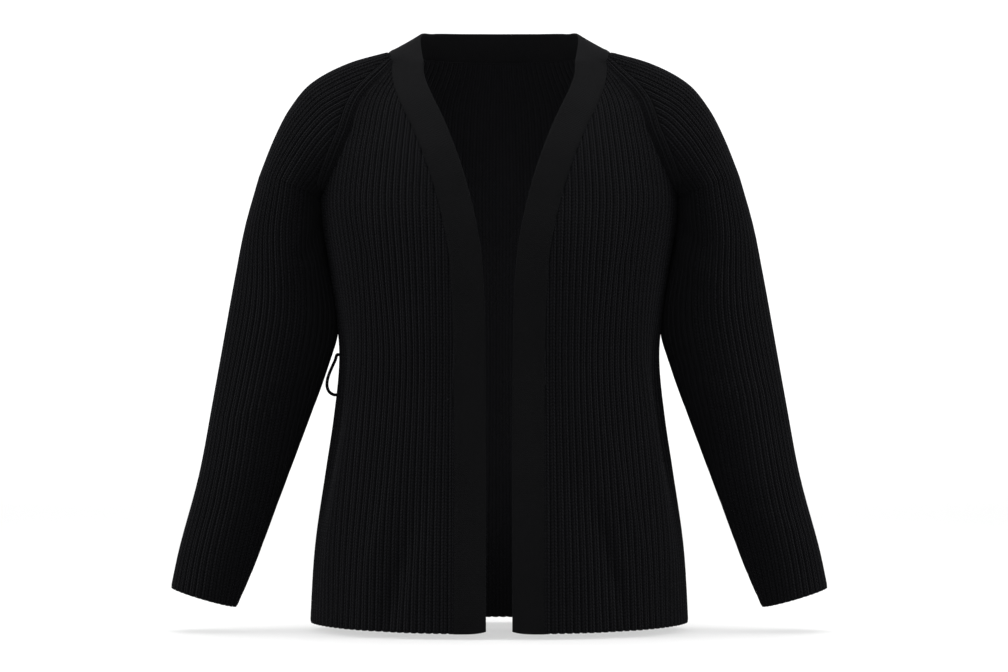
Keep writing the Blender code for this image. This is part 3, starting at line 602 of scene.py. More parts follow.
CREASE_COLUMNS = ("side", "upper_angle", "lower_angle", "upper_z", "lower_z", "spread", "height")
CREASES = [
    ("front_left", 26.0, 41.0, -0.455, -0.660, 3.4, -0.0042),
    ("front_left", 34.0, 52.0, -0.400, -0.600, 3.0, 0.0022),
    ("front_left", 40.0, 33.0, -0.120, -0.300, 4.5, 0.0026),
    ("front_left", 52.0, 40.0, -0.175, -0.262, 3.2, -0.0020),
    ("front_left", 60.0, 69.0, -0.330, -0.470, 3.4, 0.0024),
    ("front_right", 21.0, 36.0, -0.480, -0.670, 3.8, -0.0038),
    ("front_right", 31.0, 46.0, -0.430, -0.640, 3.0, 0.0020),
    ("front_right", 44.0, 36.0, -0.130, -0.330, 5.0, 0.0024),
    ("front_right", 55.0, 43.0, -0.180, -0.250, 3.0, -0.0022),
    ("front_right", 62.0, 72.0, -0.300, -0.430, 3.6, 0.0022),
    ("back_left", 12.0, 19.0, -0.380, -0.660, 3.6, -0.0030),
    ("back_left", 36.0, 30.0, -0.090, -0.300, 5.0, 0.0026),
    ("back_left", 58.0, 66.0, -0.300, -0.520, 4.0, 0.0026),
    ("back_left", 62.0, 48.0, -0.170, -0.255, 3.2, -0.0022),
    ("back_right", 8.0, 15.0, -0.430, -0.650, 3.2, -0.0026),
    ("back_right", 33.0, 28.0, -0.110, -0.280, 4.6, 0.0022),
    ("back_right", 54.0, 63.0, -0.260, -0.500, 4.2, 0.0028),
    ("back_right", 64.0, 51.0, -0.180, -0.270, 3.4, -0.0020),
    ("front_left", 90.0, 90.0, -0.160, -0.950, 16.0, 0.0030),
    ("front_left", 90.0, 90.0, -0.110, -0.330, 14.0, 0.0022),
    ("front_right", 90.0, 90.0, -0.160, -0.950, 16.0, 0.0030),
    ("front_right", 90.0, 90.0, -0.110, -0.330, 14.0, 0.0022),
    ("back_left", 90.0, 90.0, -0.160, -0.950, 16.0, 0.0030),
    ("back_left", 90.0, 90.0, -0.110, -0.330, 14.0, 0.0022),
    ("back_right", 90.0, 90.0, -0.160, -0.950, 16.0, 0.0030),
    ("back_right", 90.0, 90.0, -0.110, -0.330, 14.0, 0.0022),
]

# Creases of the sleeves: which sleeve, share round and place along of both ends, width, height
ARM_COLUMNS = ("arm", "start_f", "start_t", "end_f", "end_t", "spread", "height")
ARM_CREASES = [
    ("left", -0.98, 0.04, -0.42, 0.15, 0.024, -0.0026),
    ("left", -0.92, 0.10, -0.30, 0.27, 0.026, 0.0024),
    ("left", -0.95, 0.36, -0.35, 0.44, 0.020, -0.0024),
    ("left", -0.85, 0.43, -0.10, 0.52, 0.022, 0.0020),
    ("left", -0.30, 0.50, -0.80, 0.60, 0.018, -0.0018),
    ("left", -0.70, 0.74, -0.15, 0.86, 0.022, 0.0018),
    ("left", 0.95, 0.06, 0.40, 0.18, 0.024, -0.0026),
    ("left", 0.90, 0.34, 0.25, 0.46, 0.022, 0.0022),
    ("left", 0.80, 0.46, 0.30, 0.58, 0.020, -0.0020),
    ("left", 0.60, 0.76, 0.15, 0.90, 0.022, 0.0016),
    ("right", -0.97, 0.05, -0.48, 0.19, 0.026, -0.0028),
    ("right", -0.90, 0.13, -0.28, 0.24, 0.024, 0.0022),
    ("right", -0.96, 0.39, -0.45, 0.50, 0.022, -0.0022),
    ("right", -0.80, 0.47, -0.12, 0.57, 0.020, 0.0022),
    ("right", -0.65, 0.68, -0.20, 0.80, 0.024, -0.0016),
    ("right", 0.96, 0.04, 0.45, 0.14, 0.024, -0.0024),
    ("right", 0.85, 0.30, 0.20, 0.43, 0.024, 0.0024),
    ("right", 0.75, 0.50, 0.25, 0.62, 0.020, -0.0018),
    ("right", 0.55, 0.72, 0.20, 0.84, 0.020, 0.0018),
]


def body_creases(side, angle, z):
    """Height of the small creases of one quarter of the body."""
    total = np.zeros(np.broadcast(angle, z).shape)
    for row in CREASES:
        crease = dict(zip(CREASE_COLUMNS, row))
        if crease["side"] != side:
            continue
        share = (crease["upper_z"] - z) / (crease["upper_z"] - crease["lower_z"])
        middle = crease["upper_angle"] + (crease["lower_angle"] - crease["upper_angle"]) * share
        length = np.sin(np.pi * np.clip(share, 0.0, 1.0)) ** 1.6
        total += crease["height"] * length * np.exp(-(((angle - middle) / crease["spread"]) ** 2))
    return total


def arm_creases(arm, t, f):
    """Height of the creases across one sleeve."""
    total = np.zeros(np.broadcast(t, f).shape)
    for row in ARM_CREASES:
        crease = dict(zip(ARM_COLUMNS, row))
        if crease["arm"] != arm:
            continue
        share = (f - crease["start_f"]) / (crease["end_f"] - crease["start_f"])
        middle = crease["start_t"] + (crease["end_t"] - crease["start_t"]) * share
        length = np.sin(np.pi * np.clip(share, 0.0, 1.0)) ** 1.3
        total += crease["height"] * length * np.exp(-(((t - middle) / crease["spread"]) ** 2))
    return total


def hem_level(angle):
    return HEM_Z + HEM_RISE * np.sin(np.radians(np.abs(angle))) ** 2


def arc_angles(side, low, high, count):
    """Angles from low to high at even distances along the hem, and the distance in all."""
    angles = np.linspace(low, high, 400)
    p = body_point(side, angles, np.full(400, HEM_Z))
    run = np.concatenate([[0.0], np.cumsum(np.linalg.norm(np.diff(p, axis=0), axis=1))])
    return np.interp(np.linspace(0.0, run[-1], count + 1), run, angles), run[-1]


BAND_LEVELS = np.linspace(-0.65, 0.03, 60)
BAND_ANGLES = angle_at("front", BAND_X, BAND_LEVELS)


def front_angle(share, z):
    """Angle of a rib of the front, from the band's line at share 0 to the side at 1."""
    first = np.interp(z, BAND_LEVELS, BAND_ANGLES)
    return first + share * (90.0 - first)


def rib_tops(side, angle_of, count):
    """The v at which each rib meets the panel's top edge."""
    low = np.zeros(count)
    high = np.full(count, 2.0)
    for _ in range(36):
        mid = 0.5 * (low + high)
        angle, z = seam_place(side, mid)
        before = angle < angle_of(z)
        low = np.where(before, mid, low)
        high = np.where(before, high, mid)
    return 0.5 * (low + high)


def even_ribs(length, pitch):
    return 2 * round(length / pitch / 2)


def column_length(place):
    """Distance up each rib from its lower edge."""
    steps = np.linalg.norm(np.diff(place, axis=1), axis=2)
    run = np.concatenate([np.zeros((len(place), 1)), np.cumsum(steps, axis=1)], axis=1)
    return run


def off_side(angle):
    """1 over the front and the back, falling to 0 at the side, where a seam isn't drawn in."""
    return 1.0 - ease((angle - 60.0) / 20.0)


def front_wall(wearer_side, settings):
    """One front, from the band's seam to the side seam."""
    first = float(front_angle(0.0, HEM_Z))
    ribs = even_ribs(arc_angles("front", first, 90.0, 2)[1], BODY_PITCH)
    count = ribs * COLUMNS_PER_RIB
    angles, _ = arc_angles("front", first, 90.0, count)
    share = (angles - first) / (90.0 - first)
    v = rib_tops("front", lambda z: front_angle(share, z), count + 1)
    v[0], v[-1] = 0.0, 2.0
    high = seam_place("front", v)[1] - SEAM_CUT
    phase = np.arange(count + 1) / COLUMNS_PER_RIB
    low = hem_level(angles) - settings.hem_scallop * (rib_profile(phase) - 1.0)
    z = low[:, None] + (high - low)[:, None] * row_shares()
    angle = front_angle(share[:, None], z)
    place = body_point("front", angle, z)
    normal = grid_normals(place)
    place = place + normal * body_creases("front_" + wearer_side, angle, z)[..., None]
    wall = Wall(place, normal, phase[:, None] + 0.0 * z, column_length(place), settings)
    seam = seam_tree(seam_point("front", np.linspace(0.0, 2.0, 700)))
    wall.press_seam(distance_to(seam, place), off_side(angle))
    wall.fill_seam((ribs - wall.phase) * BODY_PITCH)
    return wall


def back_wall(settings):
    """The back, from side seam to side seam."""
    ribs = even_ribs(arc_angles("back", 0.0, 90.0, 2)[1], BODY_PITCH)
    count = ribs * COLUMNS_PER_RIB
    half, _ = arc_angles("back", 0.0, 90.0, count)
    v = rib_tops("back", lambda z: half, count + 1)
    v[0], v[-1] = 0.0, 2.0
    top = seam_place("back", v)[1] - SEAM_CUT
    angles = np.concatenate([-half[:0:-1], half])
    high = np.concatenate([top[:0:-1], top])
    phase = np.arange(-count, count + 1) / COLUMNS_PER_RIB
    low = hem_level(angles) - settings.hem_scallop * (rib_profile(phase) - 1.0)
    z = low[:, None] + (high - low)[:, None] * row_shares()
    angle = angles[:, None] + 0.0 * z
    place = body_point("back", angle, z)
    normal = grid_normals(place)
    height = np.where(
        angle < 0.0,
        body_creases("back_right", -angle, z),
        body_creases("back_left", angle, z),
    )
    place = place + normal * height[..., None]
    wall = Wall(place, normal, phase[:, None] + 0.0 * z, column_length(place), settings)
    seam = seam_point("back", np.linspace(0.0, 2.0, 700))
    both = seam_tree(np.concatenate([seam, mirror_grid(seam)]))
    wall.press_seam(distance_to(both, place), off_side(np.abs(angle)))
    wall.fill_seam((ribs - np.abs(wall.phase)) * BODY_PITCH)
    return wall


def fullness(t, under):
    """How far the sleeve fills out to the body's side, by its distance from the seam."""
    along = ease((t + 0.60) / 0.25) * ease((0.38 - t) / 0.12)
    return UNDERARM_FULLNESS * along * np.exp(-((under / 0.034) ** 2))


def strip_width(t):
    """How much of the sleeve the ribs along the raglan take; none at the underarm."""
    return STRIP_WIDTH * ease(-t / 0.22)


def raglan_distance(t, f):
    """Distance on the sleeve from its nearer raglan seam."""
    p = SLEEVE.point(t, f)
    result = np.zeros(p.shape[:-1])
    for side, tree in RAGLANS.items():
        chosen = (f < 0) if side < 0 else (f >= 0)
        result[chosen] = distance_to(tree, p[chosen])
    return result


def sleeve_wall(arm, settings):
    """One sleeve between the ribs along its raglans, closed by a seam under the arm."""
    longest = float(SLEEVE.half(0.0))
    count = 2 * round(longest / (2 * SLEEVE_PITCH)) * COLUMNS_PER_RIB
    k = np.arange(-count + 1, count)
    a = np.abs(k) * longest / count
    side = np.where(k < 0, -1.0, 1.0)
    at_neck, at_cuff = float(SLEEVE.half(-1.0)), float(SLEEVE.half(1.0))
    start = np.where(a < at_neck, -1.0, SLEEVE.where_half_is(a, -1.0, 0.0))
    t_low = np.where(a < at_cuff, 1.0, SLEEVE.where_half_is(a, 0.0, 1.0))

    def clear(t):
        f = side * np.minimum(a / SLEEVE.half(t), 1.0)
        return raglan_distance(t, f) >= strip_width(t)

    low, high = start.copy(), np.zeros(len(k))
    free = clear(start)
    for _ in range(26):
        mid = 0.5 * (low + high)
        good = clear(mid)
        high = np.where(good, mid, high)
        low = np.where(good, low, mid)
    t_high = np.where(free, start, high) + SEAM_CUT / CAP_LENGTH
    t = t_low[:, None] + (t_high - t_low)[:, None] * row_shares()
    f = side[:, None] * np.minimum(a[:, None] / SLEEVE.half(t), 1.0)
    normal = SLEEVE.normal(t, f)
    place = SLEEVE.point(t, f) + normal * arm_creases(arm, t, f)[..., None]
    under = (1.0 - np.abs(f)) * SLEEVE.half(t)
    place = place + normal * fullness(t, under)[..., None]
    phase = k[:, None] / COLUMNS_PER_RIB + 0.5 + 0.0 * t
    length = column_length(place) + np.where(t_low < 1.0, NECK_END, 0.0)[:, None]
    wall = Wall(place, normal, phase, length, settings)
    wall.fill_seam(np.where(t > -0.5, under, 1.0))
    neck = seam_tree(SLEEVE.point(-1.0, np.linspace(-1.0, 1.0, 300)))
    wall.press_seam(distance_to(neck, place))
    edge = np.maximum(raglan_distance(t, f) - strip_width(t), 0.0)
    wall.press_seam(edge, 0.6 * ease(-t / 0.3))
    return wall


def strip_wall(side, settings):
    """The two ribs that run down the sleeve beside one raglan seam."""
    t = np.linspace(-1.0 + SEAM_CUT / CAP_LENGTH, -0.03, 170)[None, :]
    s = np.linspace(0.004, 0.985, 2 * STRIP_COLUMNS + 1)[:, None]
    t, s = np.broadcast_arrays(t, s)
    low, high = np.zeros(t.shape), np.full(t.shape, 0.6)
    for _ in range(22):
        mid = 0.5 * (low + high)
        near = raglan_distance(t, side * (1.0 - mid)) < s * strip_width(t)
        low = np.where(near, mid, low)
        high = np.where(near, high, mid)
    f = side * (1.0 - 0.5 * (low + high))
    place = SLEEVE.point(t, f)
    place += SLEEVE.normal(t, f) * fullness(t, s * strip_width(t))[..., None]
    lap = SEAM_LAP * ease(-t[0] / 0.08)[:, None]
    place[0] += lap * unit(place[0] - place[2])
    length = column_length(place) + NECK_END
    wall = Wall(place, SLEEVE.normal(t, f), 2.0 * s, length, settings)
    wall.fill_seam(s * strip_width(t))
    wall.press_seam(s * strip_width(t), 0.5 * ease(-t / 0.6))
    wall.press_seam((1.0 - s) * strip_width(t), 0.6 * ease(-t / 0.3))
    return wall


class Neckline:
    """The seam of the band from the hem of one front to the middle of the back."""

    def __init__(self):
        straight_top = V_SEAM[0][1]
        z = np.linspace(HEM_Z, straight_top, 9)[:-1]
        v = np.linspace(0.0, 1.0, 21)[:-1]
        f = np.linspace(-1.0, 1.0, 15)[:-1]
        w = np.linspace(1.0, 0.0, 11)
        straight = body_point("front", angle_at("front", BAND_X, z), z)
        across_sleeve = SLEEVE.point(-1.0, f)
        parts = [straight, seam_point("front", v), across_sleeve, seam_point("back", w)]
        self.seam = np.concatenate(parts)
        level = -1.0 + (z - HEM_Z) / (straight_top - HEM_Z)
        self.q = np.concatenate([level, v, 1.0 + 0.5 * (f + 1.0), 3.0 - w])
        self.edge = self.find_edges()

    def find_edges(self):
        """The band lies on the body's surface in front and stands up round the neck."""
        along = unit(np.gradient(self.seam, axis=0))
        flat = unit(points(-along[:, 2], 0.0, along[:, 0]))
        flat[self.q < 0.0] = (-1.0, 0.0, 0.0)
        target = self.seam + flat * BAND_WIDTH
        front = self.q <= 1.0 + 1e-9
        x, z = target[front, 0], target[front, 2]
        lower = body_point("front", angle_at("front", x, z), z)
        free_edges = np.array(column(NECK, NECK_COLUMNS, "free_edge"))
        ring = np.concatenate([lower[-1:], free_edges])
        upper = smooth([1.0, 1.5, 2.0, 2.5, 3.0], ring, self.q[~front])
        return np.concatenate([lower, upper])

    def frame(self, q):
        """Seam point, edge point and outward normal at q."""
        p = smooth(self.q, self.seam, q)
        edge = smooth(self.q, self.edge, q)
        e = 0.01
        along = smooth(self.q, self.seam, q + e) - smooth(self.q, self.seam, q - e)
        along[q > 3.0 - e] = (-1.0, 0.0, 0.0)
        return p, edge, unit(np.cross(unit(along), unit(edge - p)))


NECKLINE = Neckline()


def band_wall(settings):
    """The band up one front, round the neck and down the other, with rounded edges."""
    coarse = np.linspace(-1.0, 3.0, 1600)
    steps = np.linalg.norm(np.diff(smooth(NECKLINE.q, NECKLINE.seam, coarse), axis=0), axis=1)
    run = np.concatenate([[0.0], np.cumsum(steps)])
    ends = np.array([0.0, 0.0004, 0.0012, 0.0024])
    stations = np.concatenate([ends, np.linspace(0.0045, run[-1], BAND_STATIONS)])
    q = np.interp(stations, run, coarse)
    p, edge, normal = NECKLINE.frame(q)
    rim = np.array([0.0, 0.004, 0.012, 0.026, 0.045, 0.075])
    middle = np.linspace(0.12, 0.88, 15)
    s = np.concatenate([rim, middle, 1.0 - rim[::-1]])
    reach = s * (1.0 + BAND_OVERLAP / BAND_WIDTH) - BAND_OVERLAP / BAND_WIDTH
    place = p[None] + (edge - p)[None] * reach[:, None, None]
    corner = BAND_CORNER * np.exp(-((stations / 0.004) ** 2))
    place[..., 2] += corner * s[:, None] ** 4
    normal = np.broadcast_to(normal[None], place.shape)
    flip = mirror_grid(place)[:, -2::-1], mirror_grid(normal)[:, -2::-1]
    place = np.concatenate([place, flip[0]], axis=1)
    normal = np.concatenate([normal, flip[1]], axis=1)
    length = np.concatenate([stations, 2.0 * stations[-1] - stations[-2::-1]])
    width = s * BAND_WIDTH
    across, along = np.broadcast_arrays((width / BAND_STITCH)[:, None], length[None])
    wall = Wall(place, normal, across, along.copy(), settings)
    return wall, width, length


def build_band(settings):
    wall, width, length = band_wall(settings)
    half = 0.5 * settings.band_thickness

    def rounded(distance):
        left = np.maximum(half - distance, 0.0)
        return half - np.sqrt(np.maximum(half * half - left * left, 0.0))

    side = rounded(np.minimum(width, BAND_WIDTH - width))[:, None]
    end = rounded(np.minimum(length, length[-1] - length))[None]
    cut = np.minimum(np.maximum(side, end), half - 0.0001)
    swell = 0.00025 * np.sin(length / 0.021)[None] * np.sin(length / 0.0137 + 1.0)[None]
    ridge = 0.00045 * np.exp(-(((width - 0.0045) / 0.0012) ** 2))[:, None]
    top = -(WALL - settings.band_thickness)
    out = top - cut + ridge + swell
    inn = top - settings.band_thickness + cut + swell
    return wall.close("cardigan_front_and_neck_band", out, inn, 1)


def build_belt_loop(settings):
    """A narrow knitted strip whose ends are sewn to the side seam."""
    levels = np.array(column(LOOP, LOOP_COLUMNS, "z"))
    outs = np.array(column(LOOP, LOOP_COLUMNS, "out"))
    half = look_up(BODY, BODY_COLUMNS, "z", levels, "half_width")
    keys = np.arange(len(levels))
    at = np.linspace(0.0, keys[-1], LOOP_RINGS)
    path = smooth(keys, np.stack([half + outs, levels], -1), at)
    along = unit(np.gradient(path, axis=0))
    away = np.stack([-along[:, 1], along[:, 0]], -1)
    run = np.concatenate([[0.0], np.cumsum(np.linalg.norm(np.diff(path, axis=0), axis=1))])
    turn = np.linspace(0.0, 2.0 * math.pi, LOOP_ROUND + 1)[:-1]
    c = np.sign(np.cos(turn)) * np.abs(np.cos(turn)) ** 0.7
    d = np.sign(np.sin(turn)) * np.abs(np.sin(turn)) ** 0.7
    leg = np.abs(np.sin(math.pi * (run[:, None] / LOOP_STITCH + 0.5 * np.abs(c)[None])))
    centre = 1.0 - 0.16 * np.exp(-((c / 0.2) ** 2))
    size = 0.90 + 0.10 * leg * centre[None]
    xz = path[:, None] + away[:, None] * (0.5 * LOOP_THICK * size * d[None])[..., None]
    y = 0.5 * LOOP_WIDTH * size * c[None]
    ring = np.stack([-xz[..., 0], y, xz[..., 1]], -1)
    faces = []
    for i in range(LOOP_RINGS - 1):
        for j in range(LOOP_ROUND):
            k = (j + 1) % LOOP_ROUND
            row, after = i * LOOP_ROUND, (i + 1) * LOOP_ROUND
            faces.append([row + j, row + k, after + k, after + j])
    faces.append(list(range(LOOP_ROUND))[::-1])
    faces.append([(LOOP_RINGS - 1) * LOOP_ROUND + j for j in range(LOOP_ROUND)])
    u = np.broadcast_to((turn / math.pi * 2.0)[None], size.shape)
    v = np.broadcast_to(run[:, None], size.shape)
    knit = np.stack([u.ravel(), v.ravel()], -1)
    return make_mesh("cardigan_belt_loop", ring.reshape(-1, 3), faces, knit)


class Wire:
    """A number in a shader that can be added, multiplied and so on like any other number."""

    def __init__(self, shader, socket):
        self.shader = shader
        self.socket = socket

    def maths(self, kind, *values):
        inputs = dict(enumerate(values))
        return self.shader.node("ShaderNodeMath", {"operation": kind}, inputs).wire(0)

    def __add__(self, other):
        return self.maths("ADD", self, other)

    def __radd__(self, other):
        return self.maths("ADD", other, self)

    def __sub__(self, other):
        return self.maths("SUBTRACT", self, other)

    def __rsub__(self, other):
        return self.maths("SUBTRACT", other, self)

    def __mul__(self, other):
        return self.maths("MULTIPLY", self, other)

    def __rmul__(self, other):
        return self.maths("MULTIPLY", other, self)

    def __truediv__(self, other):
        return self.maths("DIVIDE", self, other)

    def __rtruediv__(self, other):
        return self.maths("DIVIDE", other, self)

    def __pow__(self, other):
        return self.maths("POWER", self, other)

    def __gt__(self, other):
        return self.maths("GREATER_THAN", self, other)

    def __abs__(self):
        return self.maths("ABSOLUTE", self)

    def fraction(self):
        return self.maths("FRACT", self)

    def wave(self):
        return self.maths("SINE", self)

    def clipped(self):
        return self.maths("MINIMUM", self.maths("MAXIMUM", self, 0.0), 1.0)


class Made:
    """A shader node whose outputs are taken as wires."""

    def __init__(self, shader, node):
        self.shader = shader
        self.node = node

    def wire(self, key):
        return Wire(self.shader, self.node.outputs[key])


class Shader:
    """A material's node tree, built node by node."""

    def __init__(self, name):
        self.material = bpy.data.materials.new(name)
        self.material.use_nodes = True
        self.tree = self.material.node_tree
        self.surface = self.tree.nodes["Principled BSDF"]

    def node(self, kind, settings, inputs):
        """Any node: its type, its settings, and values or links for its sockets."""
        made = self.tree.nodes.new(kind)
        for key, value in settings.items():
            setattr(made, key, value)
        for key, value in inputs.items():
            self.put(made.inputs[key], value)
        return Made(self, made)

    def put(self, socket, value):
        if isinstance(value, Wire):
            self.tree.links.new(value.socket, socket)
        else:
            socket.default_value = value

    def mix(self, share, first, second):
        """A colour between two colours."""
        inputs = {0: share, 6: first, 7: second}
        return self.node("ShaderNodeMix", {"data_type": "RGBA"}, inputs).wire(2)

    def noise(self, place, scale, detail):
        inputs = {"Vector": place, "Scale": scale, "Detail": detail, "Roughness": 0.6}
        return self.node("ShaderNodeTexNoise", {}, inputs).wire("Fac")


def knit_material(name, settings, colour, ribbed):
    """Wool yarn in small V stitches: two legs to a rib, or two legs to each stitch of the band."""
    s = Shader(name)
    knit = s.node("ShaderNodeUVMap", {"uv_map": "knit"}, {}).wire("UV")
    parts = s.node("ShaderNodeSeparateXYZ", {}, {"Vector": knit})
    place = s.node("ShaderNodeTexCoord", {}, {}).wire("Object")
    uneven = s.noise(place, 140.0, 2.0)
    patch = s.noise(place, 16.0, 3.0)
    fibre = s.noise(place, 1500.0, 4.0)
    fluff = s.noise(place, 520.0, 5.0)
    u = parts.wire("X") + (uneven - 0.5) * (0.07 if ribbed else 0.16)
    height = settings.stitch if ribbed else BAND_STITCH * 0.9
    side = abs(u.fraction() - 0.5) * 2.0
    v = parts.wire("Y") / height + (uneven - 0.5) * 0.24
    slant = 0.85 if ribbed else 0.7
    loop = (v + side * slant).fraction()
    leg = 1.0 - abs(side * 2.0 - 1.0) ** 2.4
    bead = 1.0 - abs(loop * 2.0 - 1.0) ** 2.0
    yarn = (bead * 0.62 + 0.38) * (leg * 0.72 + 0.28)
    ply = ((v * 2.0 - side * 3.0) * 6.2832).wave() * 0.5 + 0.5
    relief = yarn + ply * 0.10 + fibre * 0.30 + fluff * 0.42
    # Painted shade and highlight: the yarn's colour is painted ten times darker in the hollows of
    # each stitch and nearly twice as light on its crests
    groove_painted_shade = tuple(0.10 * c for c in colour) + (1.0,)
    crest_painted_highlight = tuple(1.9 * c for c in colour) + (1.0,)
    hair = tuple(5.0 * c for c in colour) + (1.0,)
    # The stitch height drives this mix, so it paints the shade and the highlight; the patch noise
    # adds an uneven tone of the yarn itself
    share = (yarn * 0.75 + patch * 0.35).clipped()
    base = s.mix(share, groove_painted_shade, crest_painted_highlight)
    fuzz = ((fluff - 0.56) * 5.0).clipped() * ((fibre - 0.42) * 4.0).clipped()
    base = s.mix(fuzz * settings.fuzz, base, hair)
    cells = s.node("ShaderNodeTexVoronoi", {"feature": "F1"}, {"Vector": place, "Scale": 36.0})
    chosen = s.node("ShaderNodeSeparateColor", {}, {"Color": cells.wire("Color")}).wire("Red")
    speck = (1.0 - cells.wire("Distance") / 0.022).clipped() * (chosen > 0.985)
    base = s.mix(speck * 0.5, base, (0.30, 0.30, 0.31, 1.0))
    bump = s.node("ShaderNodeBump", {}, {"Strength": 1.0, "Distance": settings.stitch_depth,
                                         "Height": relief})
    rough = (0.86 + (fluff - 0.5) * 0.2).clipped()
    shader = s.surface
    s.put(shader.inputs["Base Color"], base)
    s.put(shader.inputs["Roughness"], rough)
    s.put(shader.inputs["Normal"], bump.wire("Normal"))
    s.put(shader.inputs["Specular IOR Level"], 0.03)
    s.put(shader.inputs["Sheen Weight"], settings.sheen)
    s.put(shader.inputs["Sheen Roughness"], 0.42)
    s.put(shader.inputs["Sheen Tint"], (0.80, 0.84, 0.92, 1.0))
    return s.material


class CardiganSettings(PropertyGroup):
    """Sizes and colours of the knitted pieces."""

    knit_colour: FloatVectorProperty(
        name="Rib colour", description="Colour of the ribbed cloth's yarn",
        subtype="COLOR", size=3, min=0.0, max=1.0, default=(0.0015, 0.0015, 0.0018))
    band_colour: FloatVectorProperty(
        name="Band colour", description="Colour of the smooth band's yarn",
        subtype="COLOR", size=3, min=0.0, max=1.0, default=(0.0014, 0.0014, 0.0016))
    sheen: FloatProperty(
        name="Sheen", description="How much the fibres catch light at the edges",
        subtype="FACTOR", min=0.0, max=1.0, default=0.008)
    fuzz: FloatProperty(
        name="Fuzz", description="Share of pale fibre ends on the yarn",
        subtype="FACTOR", min=0.0, max=1.0, default=0.55)
    rib_depth: FloatProperty(
        name="Rib depth", description="Depth of the grooves between ribs",
        unit="LENGTH", min=0.0, max=0.004, default=0.0023)
    wall: FloatProperty(
        name="Cloth thickness", description="From a rib's crest to the inside of the cloth",
        unit="LENGTH", min=0.002, max=0.006, default=0.0036)
    band_thickness: FloatProperty(
        name="Band thickness", description="Thickness of the smooth band",
        unit="LENGTH", min=0.001, max=0.005, default=0.0030)
    stitch: FloatProperty(
        name="Stitch height", description="Length of a rib that one stitch takes",
        unit="LENGTH", min=0.001, max=0.01, default=STITCH)
    stitch_depth: FloatProperty(
        name="Stitch depth", description="Relief of the stitches on a rib",
        unit="LENGTH", min=0.0, max=0.003, default=0.0018)
    seam_depth: FloatProperty(
        name="Seam depth", description="How far the cloth is drawn in along its seams",
        unit="LENGTH", min=0.0, max=0.003, default=0.0007)
    seam_reach: FloatProperty(
        name="Seam reach", description="Width of cloth that a seam draws in",
        unit="LENGTH", min=0.001, max=0.01, default=0.0024)
    edge_round: FloatProperty(
        name="Edge rounding", description="How much the hem and the cuffs thin at their edges",
        unit="LENGTH", min=0.0, max=0.002, default=0.0007)
    hem_scallop: FloatProperty(
        name="Hem scallop", description="How far the hem rises between ribs",
        unit="LENGTH", min=0.0, max=0.003, default=0.0009)


class StudioSettings(PropertyGroup):
    """The floor and the lights."""

    floor_colour: FloatVectorProperty(
        name="Floor colour", description="Colour of the floor and the wall behind",
        subtype="COLOR", size=3, min=0.0, max=1.0, default=(0.20, 0.20, 0.20))
    floor_glow: FloatProperty(
        name="Floor glow", description="Light that the floor and the wall give off themselves",
        min=0.0, max=2.0, default=0.52)
    floor_drop: FloatProperty(
        name="Floor drop", description="Distance of the floor below the hem",
        unit="LENGTH", min=0.0, max=1.0, default=0.006)
    key_power: FloatProperty(
        name="Light", description="Power of the light from the front",
        unit="POWER", min=0.0, max=1000.0, default=68.0)
    side_power: FloatProperty(
        name="Side light", description="Power of each light from the side",
        unit="POWER", min=0.0, max=1000.0, default=100.0)
    top_power: FloatProperty(
        name="Top light", description="Power of the light from above",
        unit="POWER", min=0.0, max=1000.0, default=110.0)
    wall_power: FloatProperty(
        name="Wall light", description="Power of the light on the wall behind",
        unit="POWER", min=0.0, max=2000.0, default=600.0)
    inside_power: FloatProperty(
        name="Inside light", description="Power of the light that shows the inside of the back",
        unit="POWER", min=0.0, max=10.0, default=0.75)
    sky: FloatProperty(
        name="Room brightness", description="Brightness of the room all round",
        min=0.0, max=5.0, default=0.86)


def paint(obj, material):
    obj.data.materials.append(material)


def rib_material(settings):
    name = "rib knit"
    made = bpy.data.materials.get(name)
    return made or knit_material(name, settings, tuple(settings.knit_colour), True)


def band_material(settings):
    name = "band knit"
    made = bpy.data.materials.get(name)
    return made or knit_material(name, settings, tuple(settings.band_colour), False)


def turned(wall):
    """The same wall for the wearer's right."""
    wall.place = mirror_grid(wall.place)
    wall.normal = mirror_grid(wall.normal)
    return wall


def joined(name, objects):
    """One object from several."""
    bm = bmesh.new()
    for obj in objects:
        bm.from_mesh(obj.data)
    bm.to_mesh(objects[0].data)
    bm.free()
    for obj in objects[1:]:
        bpy.data.meshes.remove(obj.data)
    objects[0].name = name
    return objects[0]


class CARDIGAN_OT_fronts(Operator):
    """Both fronts, in rib that runs up and down"""

    bl_idname = "cardigan.fronts"
    bl_label = "Fronts"

    def execute(self, context):
        s = context.scene.cardigan
        for side in ("left", "right"):
            wall = front_wall(side, s)
            if side == "right":
                wall = turned(wall)
            obj = wall.build("cardigan_front_" + side, 2)
            paint(obj, rib_material(s))
            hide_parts("front_" + side)
            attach(obj, "root")
        return {"FINISHED"}


class CARDIGAN_OT_back(Operator):
    """The back, in rib that runs up and down"""

    bl_idname = "cardigan.back"
    bl_label = "Back"

    def execute(self, context):
        s = context.scene.cardigan
        obj = back_wall(s).build("cardigan_back", 2)
        paint(obj, rib_material(s))
        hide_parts("back")
        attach(obj, "root")
        return {"FINISHED"}


class CARDIGAN_OT_sleeves(Operator):
    """Both sleeves, with two ribs that follow each raglan seam"""

    bl_idname = "cardigan.sleeves"
    bl_label = "Sleeves"

    def execute(self, context):
        s = context.scene.cardigan
        for arm in ("left", "right"):
            walls = [sleeve_wall(arm, s), strip_wall(-1.0, s), strip_wall(1.0, s)]
            if arm == "right":
                walls = [turned(wall) for wall in walls]
            name = "cardigan_sleeve_" + arm
            parts = [wall.build(name + str(i), 2) for i, wall in enumerate(walls)]
            obj = joined(name, parts)
            paint(obj, rib_material(s))
            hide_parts("sleeve_" + arm)
            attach(obj, "root")
        return {"FINISHED"}


